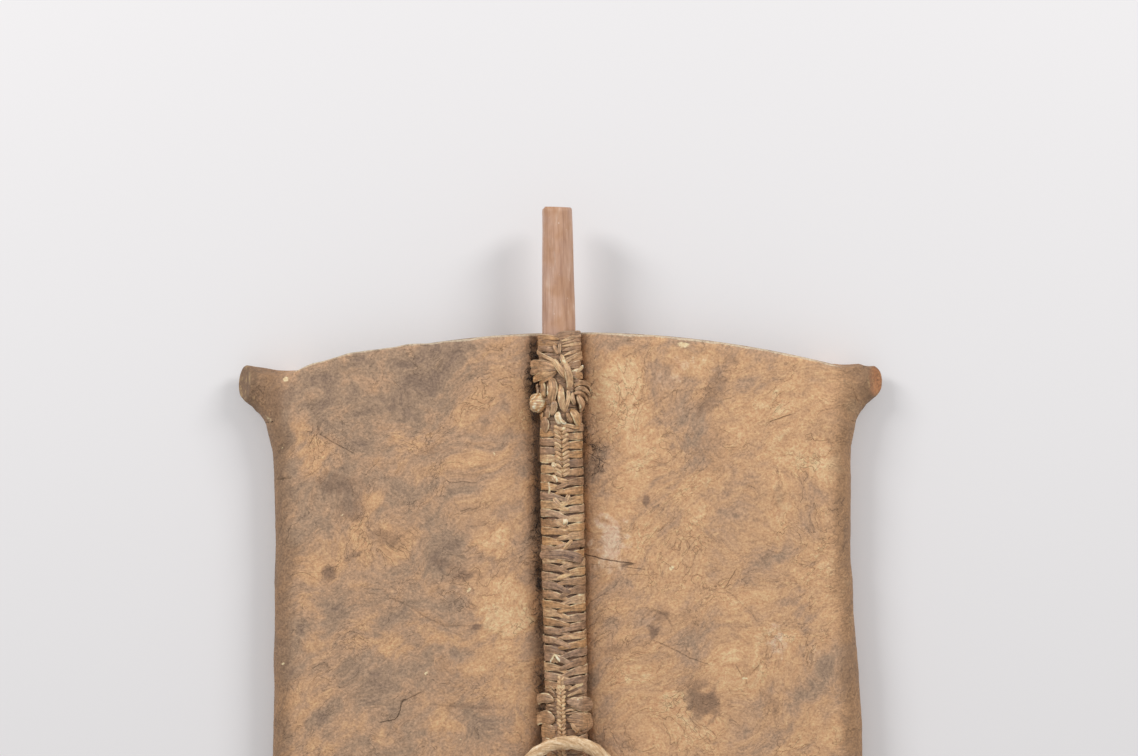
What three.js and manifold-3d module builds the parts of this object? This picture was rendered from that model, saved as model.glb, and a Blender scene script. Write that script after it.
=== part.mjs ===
// A raw hide shield lying on its rolled sides, with the holder's side up. A whittled stick runs down its
// middle and is laced to the hide with rawhide strip. X is the width, Y the length, Z points up from the
// ground. The origin is on the ground under the middle of the grip. Sizes are in millimetres.

import * as THREE from 'three';
import { mergeVertices } from 'three/addons/utils/BufferGeometryUtils.js';
import Module from 'manifold-3d';

// The hide's outline
const GRIP_HALF_WIDTH = 194;
const WAIST_HALF_WIDTH = 189;
const WAIST_Y = 200;
const CORNER_FLARE = 13;
const CORNER_FLARE_LENGTH = 80;
const CORNER_FLARE_POWER = 3.5;
const END_Y = 323.5;
const END_ARC_RADIUS = 680;
const SIDE_END_Y = 297;

// The hide's section
const HIDE_THICKNESS = 5;
const CUT_BEVEL = 1.6;
const STRIP_HALF = 11;
const STRIP_Z = 30.6;
const GROOVE_HALF = 25;
const CROWN_Z = 35.6;
const ROLL_RADIUS = 16;
const LIP_LENGTH = 8;
const LIP_END_LENGTH = 3;
const ROLL_FULL_Y = 225;
const ROLL_END_TURN = THREE.MathUtils.degToRad(75);

// The hollow for the hand, behind the grip
const HOLLOW_DEPTH = 24.4;
const HOLLOW_HALF_WIDTH = 46;
const HOLLOW_HALF_LENGTH = 75;
const HOLLOW_FLOOR = 0.25;

// The drawn-out corner nubs
const NUB_TIP_X = 207.5;
const NUB_TIP_Y = 290;
const NUB_TIP_Z = 17;
const NUB_RADIUS = 11;
const NUB_NECK_RADIUS = 9.4;
const NUB_RISE = THREE.MathUtils.degToRad(27);
const NUB_HEAD_LENGTH = 8;
const NUB_ROOT_RADIUS = 7;
const NUB_ROOT_SWELL = 3;
const NUB_ROOT_BACK = 28;
const NUB_ROOT_LIFT = 5;
const NUB_BEND_OUT = 4;
const NUB_SIDES = 8;
const NUB_SHIFT = 4;

// The stick
const STICK_HALF_LENGTH = 405;
const STICK_RADIUS = 11.2;
const STICK_TIP_RADIUS = 10;
const STICK_END_FACE_RADIUS = 8.8;
const STICK_END_BEVEL = 1.8;
const STICK_TAPER_START_Y = 318;
const STICK_SIDES = 12;
const STICK_Z = 42.2;

// The lacing, from the end edge in to the grip
const FIT_GAP = 0.3;
const STRIP_THICKNESS = 3;
const TURN_PITCH = 5.81;
const TURN_DIP = 1;
const KNOT_OUTER_Y = 322;
const KNOT_INNER_Y = 264;
const KNOT_ARCH_HALF_WIDTH = 15;
const KNOT_STRAND_REACH_X = 17.1;
const KNOT_STRAND_REACH_Z = 13.1;
const KNOT_STRAND_HALF_WIDTH = 4.4;
const KNOT_STRAND_HALF_DEPTH = 2.3;
const KNOT_STRAND_STEPS = 5;
const KNOT_STRAND_SIDES = 5;
const KNOT_CROSSINGS = 2;
const KNOT_CROSSING_RISE = 1.6;
const LACING_OUTER_Y = 263.4;
const LACING_TURNS = 29;
const BINDING_OUTER_Y = 94;
const BINDING_INNER_Y = 46;
const BINDING_HALF_WIDTH = 17.5;
const BINDING_TURNS = 4;
const STITCH_EVERY = 5;
const STITCH_WIDTH = 4;
const STITCH_LEG_X = 13.1;
const STITCH_THICKNESS = 2.2;
const STITCH_TOP_Z = 38;

// The hand guard and its ties
const GUARD_HALF_WIDTH = 38.8;
const GUARD_HALF_LENGTH = 58.8;
const GUARD_RADIUS = 3.2;
const GUARD_STEPS = 30;
const GUARD_SIDES = 7;
const GUARD_TOP_Z = 62.5;
const GUARD_SIDE_Z = 37;
const TIE_WIDTH = 8;
const TIE_HALF_SPAN = 6.6;
const TIE_THICKNESS = 2.2;
const TIE_CORNER = 1.5;

const { smoothstep, lerp } = THREE.MathUtils;
const wasm = await Module();
wasm.setup();

// ---- Closed meshes and their joining ----------------------------------------------------------------

function closedGeometry(points, triangles) {
  let volume = 0;
  for (const [a, b, c] of triangles) {
    volume += points[a].dot(new THREE.Vector3().crossVectors(points[b], points[c]));
  }
  const outward = volume > 0 ? triangles : triangles.map(([a, b, c]) => [a, c, b]);
  const geometry = new THREE.BufferGeometry();
  geometry.setAttribute('position', new THREE.Float32BufferAttribute(points.flatMap((p) => p.toArray()), 3));
  geometry.setIndex(outward.flat());
  return geometry;
}

// A solid through rings of points; a loop joins its last ring to its first instead of closing the ends.
function loft(rings, isLoop = false) {
  const sides = rings[0].length;
  const triangles = [];
  const joints = isLoop ? rings.length : rings.length - 1;
  for (let i = 0; i < joints; i++) {
    const near = i * sides;
    const far = ((i + 1) % rings.length) * sides;
    for (let j = 0; j < sides; j++) {
      const next = (j + 1) % sides;
      triangles.push([near + j, near + next, far + next], [near + j, far + next, far + j]);
    }
  }
  if (!isLoop) {
    const last = (rings.length - 1) * sides;
    for (let j = 1; j < sides - 1; j++) {
      triangles.push([0, j + 1, j], [last, last + j, last + j + 1]);
    }
  }
  return closedGeometry(rings.flat(), triangles);
}

// An elliptical ring about a point of a path, square to its direction and level with the wide axis.
function ringAt(centre, direction, wideAxis, halfWidth, halfDepth, sides) {
  const wide = wideAxis.clone().addScaledVector(direction, -wideAxis.dot(direction)).normalize();
  const deep = new THREE.Vector3().crossVectors(direction, wide).normalize();
  const ring = [];
  for (let k = 0; k < sides; k++) {
    const angle = (k / sides) * 2 * Math.PI;
    const point = centre.clone();
    point.addScaledVector(wide, halfWidth * Math.cos(angle));
    point.addScaledVector(deep, halfDepth * Math.sin(angle));
    ring.push(point);
  }
  return ring;
}

function toSolid(geometry) {
  const bare = geometry.clone();
  bare.deleteAttribute('normal');
  bare.deleteAttribute('uv');
  const merged = mergeVertices(bare);
  const vertProperties = new Float32Array(merged.attributes.position.array);
  const triVerts = new Uint32Array(merged.index.array);
  return new wasm.Manifold(new wasm.Mesh({ numProp: 3, vertProperties, triVerts }));
}

function toGeometry(solid) {
  const mesh = solid.getMesh();
  const geometry = new THREE.BufferGeometry();
  geometry.setAttribute('position', new THREE.Float32BufferAttribute(mesh.vertProperties, 3));
  geometry.setIndex(Array.from(mesh.triVerts));
  return geometry;
}

function named(name, geometry, color, roughness) {
  const material = new THREE.MeshStandardMaterial({ color, roughness, metalness: 0 });
  const mesh = new THREE.Mesh(geometry, material);
  mesh.name = name;
  return mesh;
}

// ---- The hide ----------------------------------------------------------------------------------------

function halfWidthAt(y) {
  const toWaist = Math.min(Math.abs(y) / WAIST_Y, 1);
  const swell = (GRIP_HALF_WIDTH - WAIST_HALF_WIDTH) * (1 + Math.cos(Math.PI * toWaist)) / 2;
  const pastWaist = Math.min(Math.max(Math.abs(y) - WAIST_Y, 0) / CORNER_FLARE_LENGTH, 1);
  return WAIST_HALF_WIDTH + swell + CORNER_FLARE * pastWaist ** CORNER_FLARE_POWER;
}

function endYAt(x) {
  return END_Y - END_ARC_RADIUS + Math.sqrt(END_ARC_RADIUS ** 2 - x ** 2);
}

function hollowDepthAt(x, y) {
  const reach = Math.hypot(x / HOLLOW_HALF_WIDTH, y / HOLLOW_HALF_LENGTH);
  return HOLLOW_DEPTH * (1 - smoothstep(reach, HOLLOW_FLOOR, 1));
}

function frontZAt(x, y) {
  const across = Math.abs(x);
  const rollX = halfWidthAt(y) - ROLL_RADIUS;
  const outward = Math.max(across - GROOVE_HALF, 0) / (rollX - GROOVE_HALF);
  const rise = (CROWN_Z - STRIP_Z) * smoothstep(across, STRIP_HALF, GROOVE_HALF);
  const fall = (CROWN_Z - 2 * ROLL_RADIUS) * outward ** 2;
  return STRIP_Z + rise - fall - hollowDepthAt(x, y);
}

// The front face's points across one half at one place along the length, from the middle to the lip.
function halfSection(t) {
  const sideY = t * SIDE_END_Y;
  const rollX = halfWidthAt(sideY) - ROLL_RADIUS;
  const stations = [0];
  const grooveSteps = 3;
  for (let i = 0; i <= grooveSteps; i++) {
    stations.push(lerp(STRIP_HALF, GROOVE_HALF, i / grooveSteps));
  }
  const crownSteps = 4;
  for (let i = 1; i <= crownSteps; i++) {
    stations.push(lerp(GROOVE_HALF, rollX, (i / crownSteps) ** 1.2));
  }
  const points = stations.map((x) => new THREE.Vector3(x, t * endYAt(x), frontZAt(x, t * endYAt(x))));

  const unroll = smoothstep(Math.abs(sideY), ROLL_FULL_Y, SIDE_END_Y);
  const turn = lerp(Math.PI, ROLL_END_TURN, unroll);
  const rollSteps = 5;
  for (let i = 1; i <= rollSteps; i++) {
    const angle = (i / rollSteps) * turn;
    const x = rollX + ROLL_RADIUS * Math.sin(angle);
    points.push(new THREE.Vector3(x, t * endYAt(x), ROLL_RADIUS + ROLL_RADIUS * Math.cos(angle)));
  }
  const lip = points.at(-1).clone();
  const lipLength = lerp(LIP_LENGTH, LIP_END_LENGTH, unroll);
  lip.x += lipLength * Math.cos(turn);
  lip.z = Math.max(lip.z - lipLength * Math.sin(turn), 0);
  points.push(lip);
  return points;
}

function rowPlaces() {
  const spans = [
    { from: 0, to: HOLLOW_HALF_LENGTH, steps: 6 },
    { from: HOLLOW_HALF_LENGTH, to: ROLL_FULL_Y, steps: 3 },
    { from: ROLL_FULL_Y, to: END_Y, steps: 5 },
  ];
  const places = [];
  for (const { from, to, steps } of spans) {
    for (let i = 1; i <= steps; i++) {
      places.push(lerp(from, to, i / steps) / END_Y);
    }
  }
  return [...places.map((t) => -t).reverse(), 0, ...places];
}

function mirrorX(point) {
  return new THREE.Vector3(-point.x, point.y, point.z);
}

function hideSheet() {
  const rows = rowPlaces().map((t) => {
    const half = halfSection(t);
    return [...half.slice(1).reverse().map(mirrorX), ...half];
  });
  const rowCount = rows.length;
  const columnCount = rows[0].length;

  const backRows = rows.map((row, i) => row.map((point, j) => {
    const across = row[Math.min(j + 1, columnCount - 1)].clone().sub(row[Math.max(j - 1, 0)]);
    const along = rows[Math.min(i + 1, rowCount - 1)][j].clone().sub(rows[Math.max(i - 1, 0)][j]);
    const inward = new THREE.Vector3().crossVectors(along, across).normalize();
    return point.clone().addScaledVector(inward, HIDE_THICKNESS);
  }));
  for (const end of [0, rowCount - 1]) {
    for (const point of rows[end]) {
      point.y -= Math.sign(point.y) * CUT_BEVEL;
    }
  }

  const points = [...rows.flat(), ...backRows.flat()];
  const back = rowCount * columnCount;
  const at = (i, j) => i * columnCount + j;
  const triangles = [];
  const quad = (a, b, c, d) => triangles.push([a, b, c], [a, c, d]);
  for (let i = 0; i < rowCount - 1; i++) {
    for (let j = 0; j < columnCount - 1; j++) {
      quad(at(i, j), at(i, j + 1), at(i + 1, j + 1), at(i + 1, j));
      quad(back + at(i, j), back + at(i + 1, j), back + at(i + 1, j + 1), back + at(i, j + 1));
    }
  }
  const lastRow = rowCount - 1;
  const lastColumn = columnCount - 1;
  for (let j = 0; j < lastColumn; j++) {
    quad(at(0, j + 1), at(0, j), back + at(0, j), back + at(0, j + 1));
    quad(at(lastRow, j), at(lastRow, j + 1), back + at(lastRow, j + 1), back + at(lastRow, j));
  }
  for (let i = 0; i < lastRow; i++) {
    quad(at(i, 0), at(i + 1, 0), back + at(i + 1, 0), back + at(i, 0));
    quad(at(i + 1, lastColumn), at(i, lastColumn), back + at(i, lastColumn), back + at(i + 1, lastColumn));
  }
  return closedGeometry(points, triangles);
}

// A nub leaves the rolled side as a tube, necks in, and ends in a flat cut face that looks out and up.
function cornerNub(sideX, sideY) {
  const axis = new THREE.Vector3(Math.cos(NUB_RISE), 0, Math.sin(NUB_RISE));
  const tip = new THREE.Vector3(NUB_TIP_X, NUB_TIP_Y, NUB_TIP_Z);
  const neck = tip.clone().addScaledVector(axis, -NUB_HEAD_LENGTH);
  const rootY = NUB_TIP_Y - NUB_ROOT_BACK;
  const root = new THREE.Vector3(halfWidthAt(rootY) - ROLL_RADIUS, rootY, ROLL_RADIUS + NUB_ROOT_LIFT);
  const bend = new THREE.Vector3(root.x + NUB_BEND_OUT, NUB_TIP_Y - 1, ROLL_RADIUS - 1);
  const curve = new THREE.QuadraticBezierCurve3(root, bend, neck);

  const wideAxis = new THREE.Vector3(0, 1, 0);
  const rings = [];
  const curveSteps = 3;
  for (let i = 0; i <= curveSteps; i++) {
    const part = i / curveSteps;
    const swell = NUB_ROOT_SWELL * Math.sin(Math.PI * part);
    const radius = lerp(NUB_ROOT_RADIUS, NUB_NECK_RADIUS, part) + swell;
    rings.push(ringAt(curve.getPoint(part), curve.getTangent(part), wideAxis, radius, radius, NUB_SIDES));
  }
  const rim = tip.clone().addScaledVector(axis, -NUB_HEAD_LENGTH / 2);
  rings.push(ringAt(rim, axis, wideAxis, NUB_RADIUS, NUB_RADIUS, NUB_SIDES));
  rings.push(ringAt(tip, axis, wideAxis, NUB_RADIUS, NUB_RADIUS, NUB_SIDES));

  // The nubs of one diagonal pair sit a little further from the middle than the other pair's.
  const shift = -sideX * sideY * NUB_SHIFT;
  for (const point of rings.flat()) {
    const outward = smoothstep(point.x, root.x, NUB_TIP_X);
    point.x *= sideX;
    point.y = sideY * (point.y + shift * outward);
  }
  return loft(rings);
}

// ---- The stick ---------------------------------------------------------------------------------------

function stickGeometry(growth = 0) {
  const halfProfile = [
    new THREE.Vector2(STICK_RADIUS + growth, 0),
    new THREE.Vector2(STICK_RADIUS + growth, STICK_TAPER_START_Y),
    new THREE.Vector2(STICK_TIP_RADIUS + growth, STICK_HALF_LENGTH - STICK_END_BEVEL),
    new THREE.Vector2(STICK_END_FACE_RADIUS + growth, STICK_HALF_LENGTH),
    new THREE.Vector2(0, STICK_HALF_LENGTH),
  ];
  const lowerHalf = halfProfile.slice(1).reverse().map((p) => new THREE.Vector2(p.x, -p.y));
  const geometry = new THREE.LatheGeometry([...lowerHalf, ...halfProfile], STICK_SIDES);
  geometry.rotateY(Math.PI / STICK_SIDES);
  geometry.translate(0, 0, STICK_Z);
  return geometry;
}

// ---- The lacing --------------------------------------------------------------------------------------

// An arch of turns laid over the stick down to the hide; each turn is a rib with a dip on both sides.
function archOfTurns(fromY, toY, turns, halfWidth) {
  const rings = [];
  const stations = turns * 2;
  for (let i = 0; i <= stations; i++) {
    const y = lerp(fromY, toY, i / stations);
    const dip = i % 2 === 0 ? TURN_DIP : 0;
    const reachX = halfWidth - dip;
    const reachZ = STICK_RADIUS + FIT_GAP + STRIP_THICKNESS - dip;
    const footZ = frontZAt(halfWidth, y) + FIT_GAP;
    const ring = [new THREE.Vector3(-reachX, y, footZ)];
    const arcSteps = 4;
    for (let k = 0; k <= arcSteps; k++) {
      const angle = Math.PI * (1 - k / arcSteps);
      ring.push(new THREE.Vector3(reachX * Math.cos(angle), y, STICK_Z + reachZ * Math.sin(angle)));
    }
    ring.push(new THREE.Vector3(reachX, y, footZ));
    rings.push(ring);
  }
  return toSolid(loft(rings));
}

// Where the strip is drawn through the hide: a leg down each side of the stick and a bar across the back.
function stitchGeometry(y, growth = 0) {
  const outerX = STITCH_LEG_X + STITCH_THICKNESS / 2 + growth;
  const innerX = STITCH_LEG_X - STITCH_THICKNESS / 2 - growth;
  const barTop = frontZAt(0, y) - HIDE_THICKNESS - 2 * FIT_GAP;
  const barBottom = barTop - STITCH_THICKNESS;
  const outline = new THREE.Shape([
    new THREE.Vector2(-outerX, STITCH_TOP_Z),
    new THREE.Vector2(-outerX, barBottom),
    new THREE.Vector2(outerX, barBottom),
    new THREE.Vector2(outerX, STITCH_TOP_Z),
    new THREE.Vector2(innerX, STITCH_TOP_Z),
    new THREE.Vector2(innerX, barTop),
    new THREE.Vector2(-innerX, barTop),
    new THREE.Vector2(-innerX, STITCH_TOP_Z),
  ]);
  const depth = STITCH_WIDTH + 2 * growth;
  const geometry = new THREE.ExtrudeGeometry(outline, { depth, bevelEnabled: false });
  geometry.rotateX(Math.PI / 2);
  geometry.translate(0, y + depth / 2, 0);
  return geometry;
}

function slitGeometry(side, y) {
  const geometry = new THREE.BoxGeometry(
    STITCH_THICKNESS + 2 * FIT_GAP,
    STITCH_WIDTH + 2 * FIT_GAP,
    4 * HIDE_THICKNESS,
  );
  geometry.translate(side * STITCH_LEG_X, y, frontZAt(0, y));
  return geometry;
}

// One strand of the knot: up one side of the stick, over its top and down the other side.
function crossingStrand(side, startY, rise) {
  const wideAxis = new THREE.Vector3(0, 1, 0);
  const rings = [];
  for (let i = 0; i <= KNOT_STRAND_STEPS; i++) {
    const part = i / KNOT_STRAND_STEPS;
    const angle = Math.PI * part;
    const centre = new THREE.Vector3(
      side * KNOT_STRAND_REACH_X * Math.cos(angle),
      startY + rise * part,
      STICK_Z + KNOT_STRAND_REACH_Z * Math.sin(angle),
    );
    const direction = new THREE.Vector3(
      -side * KNOT_STRAND_REACH_X * Math.PI * Math.sin(angle),
      rise,
      KNOT_STRAND_REACH_Z * Math.PI * Math.cos(angle),
    );
    direction.normalize();
    rings.push(ringAt(
      centre, direction, wideAxis, KNOT_STRAND_HALF_WIDTH, KNOT_STRAND_HALF_DEPTH, KNOT_STRAND_SIDES,
    ));
  }
  return loft(rings);
}

const stitchPlaces = [];

function withStitches(solid, places) {
  let result = solid.subtract(toSolid(stickGeometry(FIT_GAP)));
  for (const y of places) {
    result = result.add(toSolid(stitchGeometry(y)));
    stitchPlaces.push(y);
  }
  return result;
}

function knot(sign) {
  const fromY = sign * KNOT_INNER_Y;
  const toY = sign * KNOT_OUTER_Y;
  let solid = archOfTurns(fromY, toY, KNOT_CROSSINGS, KNOT_ARCH_HALF_WIDTH);
  const rowLength = (toY - fromY) / (KNOT_CROSSINGS + 1);
  for (let row = 0; row < KNOT_CROSSINGS; row++) {
    const startY = fromY + (row + 0.15) * rowLength;
    for (const side of [-1, 1]) {
      solid = solid.add(toSolid(crossingStrand(side, startY, KNOT_CROSSING_RISE * rowLength)));
    }
  }
  return withStitches(solid, [lerp(fromY, toY, 0.3), lerp(fromY, toY, 0.75)]);
}

function lacing(sign) {
  const fromY = sign * LACING_OUTER_Y;
  const toY = sign * (LACING_OUTER_Y - LACING_TURNS * TURN_PITCH);
  const halfWidth = STICK_RADIUS + FIT_GAP + STRIP_THICKNESS;
  const places = [];
  for (let turn = 1; turn < LACING_TURNS; turn += STITCH_EVERY) {
    places.push(fromY - sign * (turn + 0.5) * TURN_PITCH);
  }
  return withStitches(archOfTurns(fromY, toY, LACING_TURNS, halfWidth), places);
}

function gripBinding(sign) {
  const fromY = sign * BINDING_OUTER_Y;
  const toY = sign * BINDING_INNER_Y;
  const solid = archOfTurns(fromY, toY, BINDING_TURNS, BINDING_HALF_WIDTH);
  return withStitches(solid, [lerp(fromY, toY, 0.2)]);
}

// ---- The hand guard ----------------------------------------------------------------------------------

// An oval hoop that rides over the stick at both ends of the grip and comes down to the hide between.
function guardGeometry() {
  const centres = [];
  for (let i = 0; i < GUARD_STEPS; i++) {
    const angle = (i / GUARD_STEPS) * 2 * Math.PI;
    const overStick = smoothstep(Math.abs(Math.sin(angle)), 0.1, 0.93);
    centres.push(new THREE.Vector3(
      GUARD_HALF_WIDTH * Math.cos(angle),
      GUARD_HALF_LENGTH * Math.sin(angle),
      lerp(GUARD_SIDE_Z, GUARD_TOP_Z, overStick),
    ));
  }
  const up = new THREE.Vector3(0, 0, 1);
  const rings = centres.map((centre, i) => {
    const before = centres[(i + GUARD_STEPS - 1) % GUARD_STEPS];
    const after = centres[(i + 1) % GUARD_STEPS];
    const direction = after.clone().sub(before).normalize();
    return ringAt(centre, direction, up, GUARD_RADIUS, GUARD_RADIUS, GUARD_SIDES);
  });
  return loft(rings, true);
}

// A thong through two slits in the hide and over the hoop's side.
function tieGeometry(side, growth = 0) {
  const centreX = side * GUARD_HALF_WIDTH;
  const hideBackZ = frontZAt(GUARD_HALF_WIDTH - TIE_HALF_SPAN, 0) - HIDE_THICKNESS;
  const bottom = hideBackZ - 4 * FIT_GAP;
  const top = GUARD_SIDE_Z + GUARD_RADIUS + FIT_GAP;
  const inside = TIE_HALF_SPAN - TIE_THICKNESS / 2 - growth;
  const outside = TIE_HALF_SPAN + TIE_THICKNESS / 2 + growth;
  const outline = new THREE.Shape();
  outline.moveTo(centreX - outside, bottom - TIE_THICKNESS);
  outline.lineTo(centreX + outside, bottom - TIE_THICKNESS);
  outline.lineTo(centreX + outside, top);
  outline.lineTo(centreX + inside, top + TIE_THICKNESS);
  outline.lineTo(centreX - inside, top + TIE_THICKNESS);
  outline.lineTo(centreX - outside, top);
  const opening = new THREE.Path();
  opening.moveTo(centreX - inside, bottom);
  opening.lineTo(centreX - inside, top - TIE_CORNER);
  opening.lineTo(centreX - inside + TIE_CORNER, top);
  opening.lineTo(centreX + inside - TIE_CORNER, top);
  opening.lineTo(centreX + inside, top - TIE_CORNER);
  opening.lineTo(centreX + inside, bottom);
  outline.holes.push(opening);
  const depth = TIE_WIDTH + 2 * growth;
  const geometry = new THREE.ExtrudeGeometry(outline, { depth, bevelEnabled: false });
  geometry.rotateX(Math.PI / 2);
  geometry.translate(0, depth / 2, 0);
  return geometry;
}

// ---- Putting it together -----------------------------------------------------------------------------

const shield = new THREE.Group();
const HIDE_COLOUR = 0xb6916f;
const STICK_COLOUR = 0xb99277;
const RAWHIDE_COLOUR = 0xa38064;
const GUARD_COLOUR = 0xdcbc96;

const laced = [
  ['top_knot', knot(1)],
  ['upper_lacing', lacing(1)],
  ['upper_grip_binding', gripBinding(1)],
  ['lower_grip_binding', gripBinding(-1)],
  ['lower_lacing', lacing(-1)],
  ['bottom_knot', knot(-1)],
];

let hide = toSolid(hideSheet());
for (const sideX of [-1, 1]) {
  for (const sideY of [-1, 1]) {
    hide = hide.add(toSolid(cornerNub(sideX, sideY)));
  }
}
for (const y of stitchPlaces) {
  for (const side of [-1, 1]) {
    hide = hide.subtract(toSolid(slitGeometry(side, y)));
  }
}
for (const side of [-1, 1]) {
  hide = hide.subtract(toSolid(tieGeometry(side, FIT_GAP)));
}

shield.add(named('hide', toGeometry(hide), HIDE_COLOUR, 0.8));
shield.add(named('stick', stickGeometry(), STICK_COLOUR, 0.5));
for (const [name, solid] of laced) {
  shield.add(named(name, toGeometry(solid), RAWHIDE_COLOUR, 0.6));
}
shield.add(named('hand_guard', guardGeometry(), GUARD_COLOUR, 0.8));
shield.add(named('guard_tie_left', tieGeometry(-1), RAWHIDE_COLOUR, 0.6));
shield.add(named('guard_tie_right', tieGeometry(1), RAWHIDE_COLOUR, 0.6));

export default shield;
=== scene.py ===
import math

import bpy
import numpy as np
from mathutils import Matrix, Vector


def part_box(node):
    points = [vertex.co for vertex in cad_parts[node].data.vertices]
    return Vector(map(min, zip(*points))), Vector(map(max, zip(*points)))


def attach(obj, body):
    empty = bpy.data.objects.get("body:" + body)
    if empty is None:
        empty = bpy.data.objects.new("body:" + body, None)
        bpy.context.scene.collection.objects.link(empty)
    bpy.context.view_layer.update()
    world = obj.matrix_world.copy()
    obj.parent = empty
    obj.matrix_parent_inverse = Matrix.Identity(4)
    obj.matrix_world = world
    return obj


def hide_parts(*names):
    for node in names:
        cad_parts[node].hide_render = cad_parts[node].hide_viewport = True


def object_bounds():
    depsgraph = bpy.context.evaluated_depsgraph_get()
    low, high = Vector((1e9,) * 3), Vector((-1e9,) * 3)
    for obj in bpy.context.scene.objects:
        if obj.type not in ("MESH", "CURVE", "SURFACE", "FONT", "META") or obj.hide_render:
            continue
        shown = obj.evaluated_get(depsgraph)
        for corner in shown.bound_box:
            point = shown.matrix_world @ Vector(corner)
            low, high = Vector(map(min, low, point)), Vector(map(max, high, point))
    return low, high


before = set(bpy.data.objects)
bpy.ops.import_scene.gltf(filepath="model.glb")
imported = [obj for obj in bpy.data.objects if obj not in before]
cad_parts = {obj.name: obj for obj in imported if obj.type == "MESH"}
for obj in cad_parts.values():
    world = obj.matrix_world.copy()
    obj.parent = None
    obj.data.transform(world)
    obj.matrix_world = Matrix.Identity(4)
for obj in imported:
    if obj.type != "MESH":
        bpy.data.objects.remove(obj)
cad_low, cad_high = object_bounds()


# ---- The hide ---------------------------------------------------------------------------------------
# One sheet of thick raw hide, pegged out wet and dried hard. Its long sides are rolled back, its corners
# are drawn out into round nubs cut off flat, and the holder's side is scraped, stained and rubbed.
MM = 0.001
hide_low, hide_high = (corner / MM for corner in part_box("hide"))
HIDE_THICKNESS = 5.0
END_Y = hide_high.y
SIDE_END_Y = END_Y - 26.5
END_ARC_RADIUS = 680.0
GRIP_HALF_WIDTH, WAIST_HALF_WIDTH, WAIST_Y = 194.0, 189.0, 200.0
CORNER_FLARE, CORNER_FLARE_LENGTH, CORNER_FLARE_POWER = 4.0, 80.0, 3.0
STRIP_HALF, STRIP_Z = 11.0, 30.6
GROOVE_HALF, CROWN_Z = 25.0, hide_high.z
ROLL_RADIUS, ROLL_FULL_Y, ROLL_END_TURN = 16.0, 225.0, math.radians(75)
LIP_LENGTH, LIP_END_LENGTH = 8.0, 3.0
HOLLOW_DEPTH, HOLLOW_FLOOR = 24.4, 0.25
HOLLOW_HALF_WIDTH, HOLLOW_HALF_LENGTH = 46.0, 75.0
CROWN_COLUMNS, ROLL_COLUMNS, LIP_COLUMNS = 87, 22, 5
ROWS = 306
BACK_STEP = 3


def smoothstep(value, low, high):
    part = np.clip((value - low) / (high - low), 0.0, 1.0)
    return part * part * (3 - 2 * part)


def ripple(x, y, seed, shortest, longest, waves=26):
    """A smooth uneven surface, mostly between -1 and 1, of waves with lengths between two sizes in mm."""
    draw = np.random.RandomState(seed)
    total = np.zeros_like(x)
    for _ in range(waves):
        length = math.exp(draw.uniform(math.log(shortest), math.log(longest)))
        heading = draw.uniform(0, 2 * math.pi)
        phase = draw.uniform(0, 2 * math.pi)
        total += np.sin(2 * math.pi * (x * math.cos(heading) + y * math.sin(heading)) / length + phase)
    return total / (1.2 * waves**0.5)


def half_width_at(y):
    to_waist = np.minimum(np.abs(y) / WAIST_Y, 1)
    swell = (GRIP_HALF_WIDTH - WAIST_HALF_WIDTH) * (1 + np.cos(math.pi * to_waist)) / 2
    past_waist = np.minimum(np.maximum(np.abs(y) - WAIST_Y, 0) / CORNER_FLARE_LENGTH, 1)
    return WAIST_HALF_WIDTH + swell + CORNER_FLARE * past_waist**CORNER_FLARE_POWER


def end_y_at(x):
    return END_Y - END_ARC_RADIUS + np.sqrt(END_ARC_RADIUS**2 - x**2)


def hollow_at(x, y):
    reach = np.hypot(x / HOLLOW_HALF_WIDTH, y / HOLLOW_HALF_LENGTH)
    return HOLLOW_DEPTH * (1 - smoothstep(reach, HOLLOW_FLOOR, 1))


def front_z_at(x, y):
    across = np.abs(x)
    outward = np.maximum(across - GROOVE_HALF, 0) / (half_width_at(y) - ROLL_RADIUS - GROOVE_HALF)
    rise = (CROWN_Z - STRIP_Z) * smoothstep(across, STRIP_HALF, GROOVE_HALF)
    fall = (CROWN_Z - 2 * ROLL_RADIUS) * outward**2
    return STRIP_Z + rise - fall - hollow_at(x, y)


def front_grid():
    """The holder's face: rows from foot to top of points in mm, each from the left lip to the right."""
    t = np.linspace(-1, 1, ROWS + 1)[:, None]
    side_y = t * SIDE_END_Y
    roll_x = half_width_at(side_y) - ROLL_RADIUS
    crown_x = roll_x * np.linspace(0, 1, CROWN_COLUMNS + 1)[None, :]
    crown_z = front_z_at(crown_x, t * end_y_at(crown_x))
    unroll = smoothstep(np.abs(side_y), ROLL_FULL_Y, SIDE_END_Y)
    turn = math.pi + (ROLL_END_TURN - math.pi) * unroll
    angle = turn * (np.arange(1, ROLL_COLUMNS + 1) / ROLL_COLUMNS)[None, :]
    bent_x = roll_x + ROLL_RADIUS * np.sin(angle)
    bent_z = ROLL_RADIUS + ROLL_RADIUS * np.cos(angle)
    lip = LIP_LENGTH + (LIP_END_LENGTH - LIP_LENGTH) * unroll
    lip = lip * (np.arange(1, LIP_COLUMNS + 1) / LIP_COLUMNS)[None, :]
    lip_x = bent_x[:, -1:] + lip * np.cos(turn)
    lip_z = np.maximum(bent_z[:, -1:] - lip * np.sin(turn), 0)
    x = np.hstack([crown_x, bent_x, lip_x])
    right = np.stack([x, t * end_y_at(x), np.hstack([crown_z, bent_z, lip_z])], axis=-1)
    return np.concatenate([right[:, :0:-1] * np.array([-1.0, 1.0, 1.0]), right], axis=1)


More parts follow.
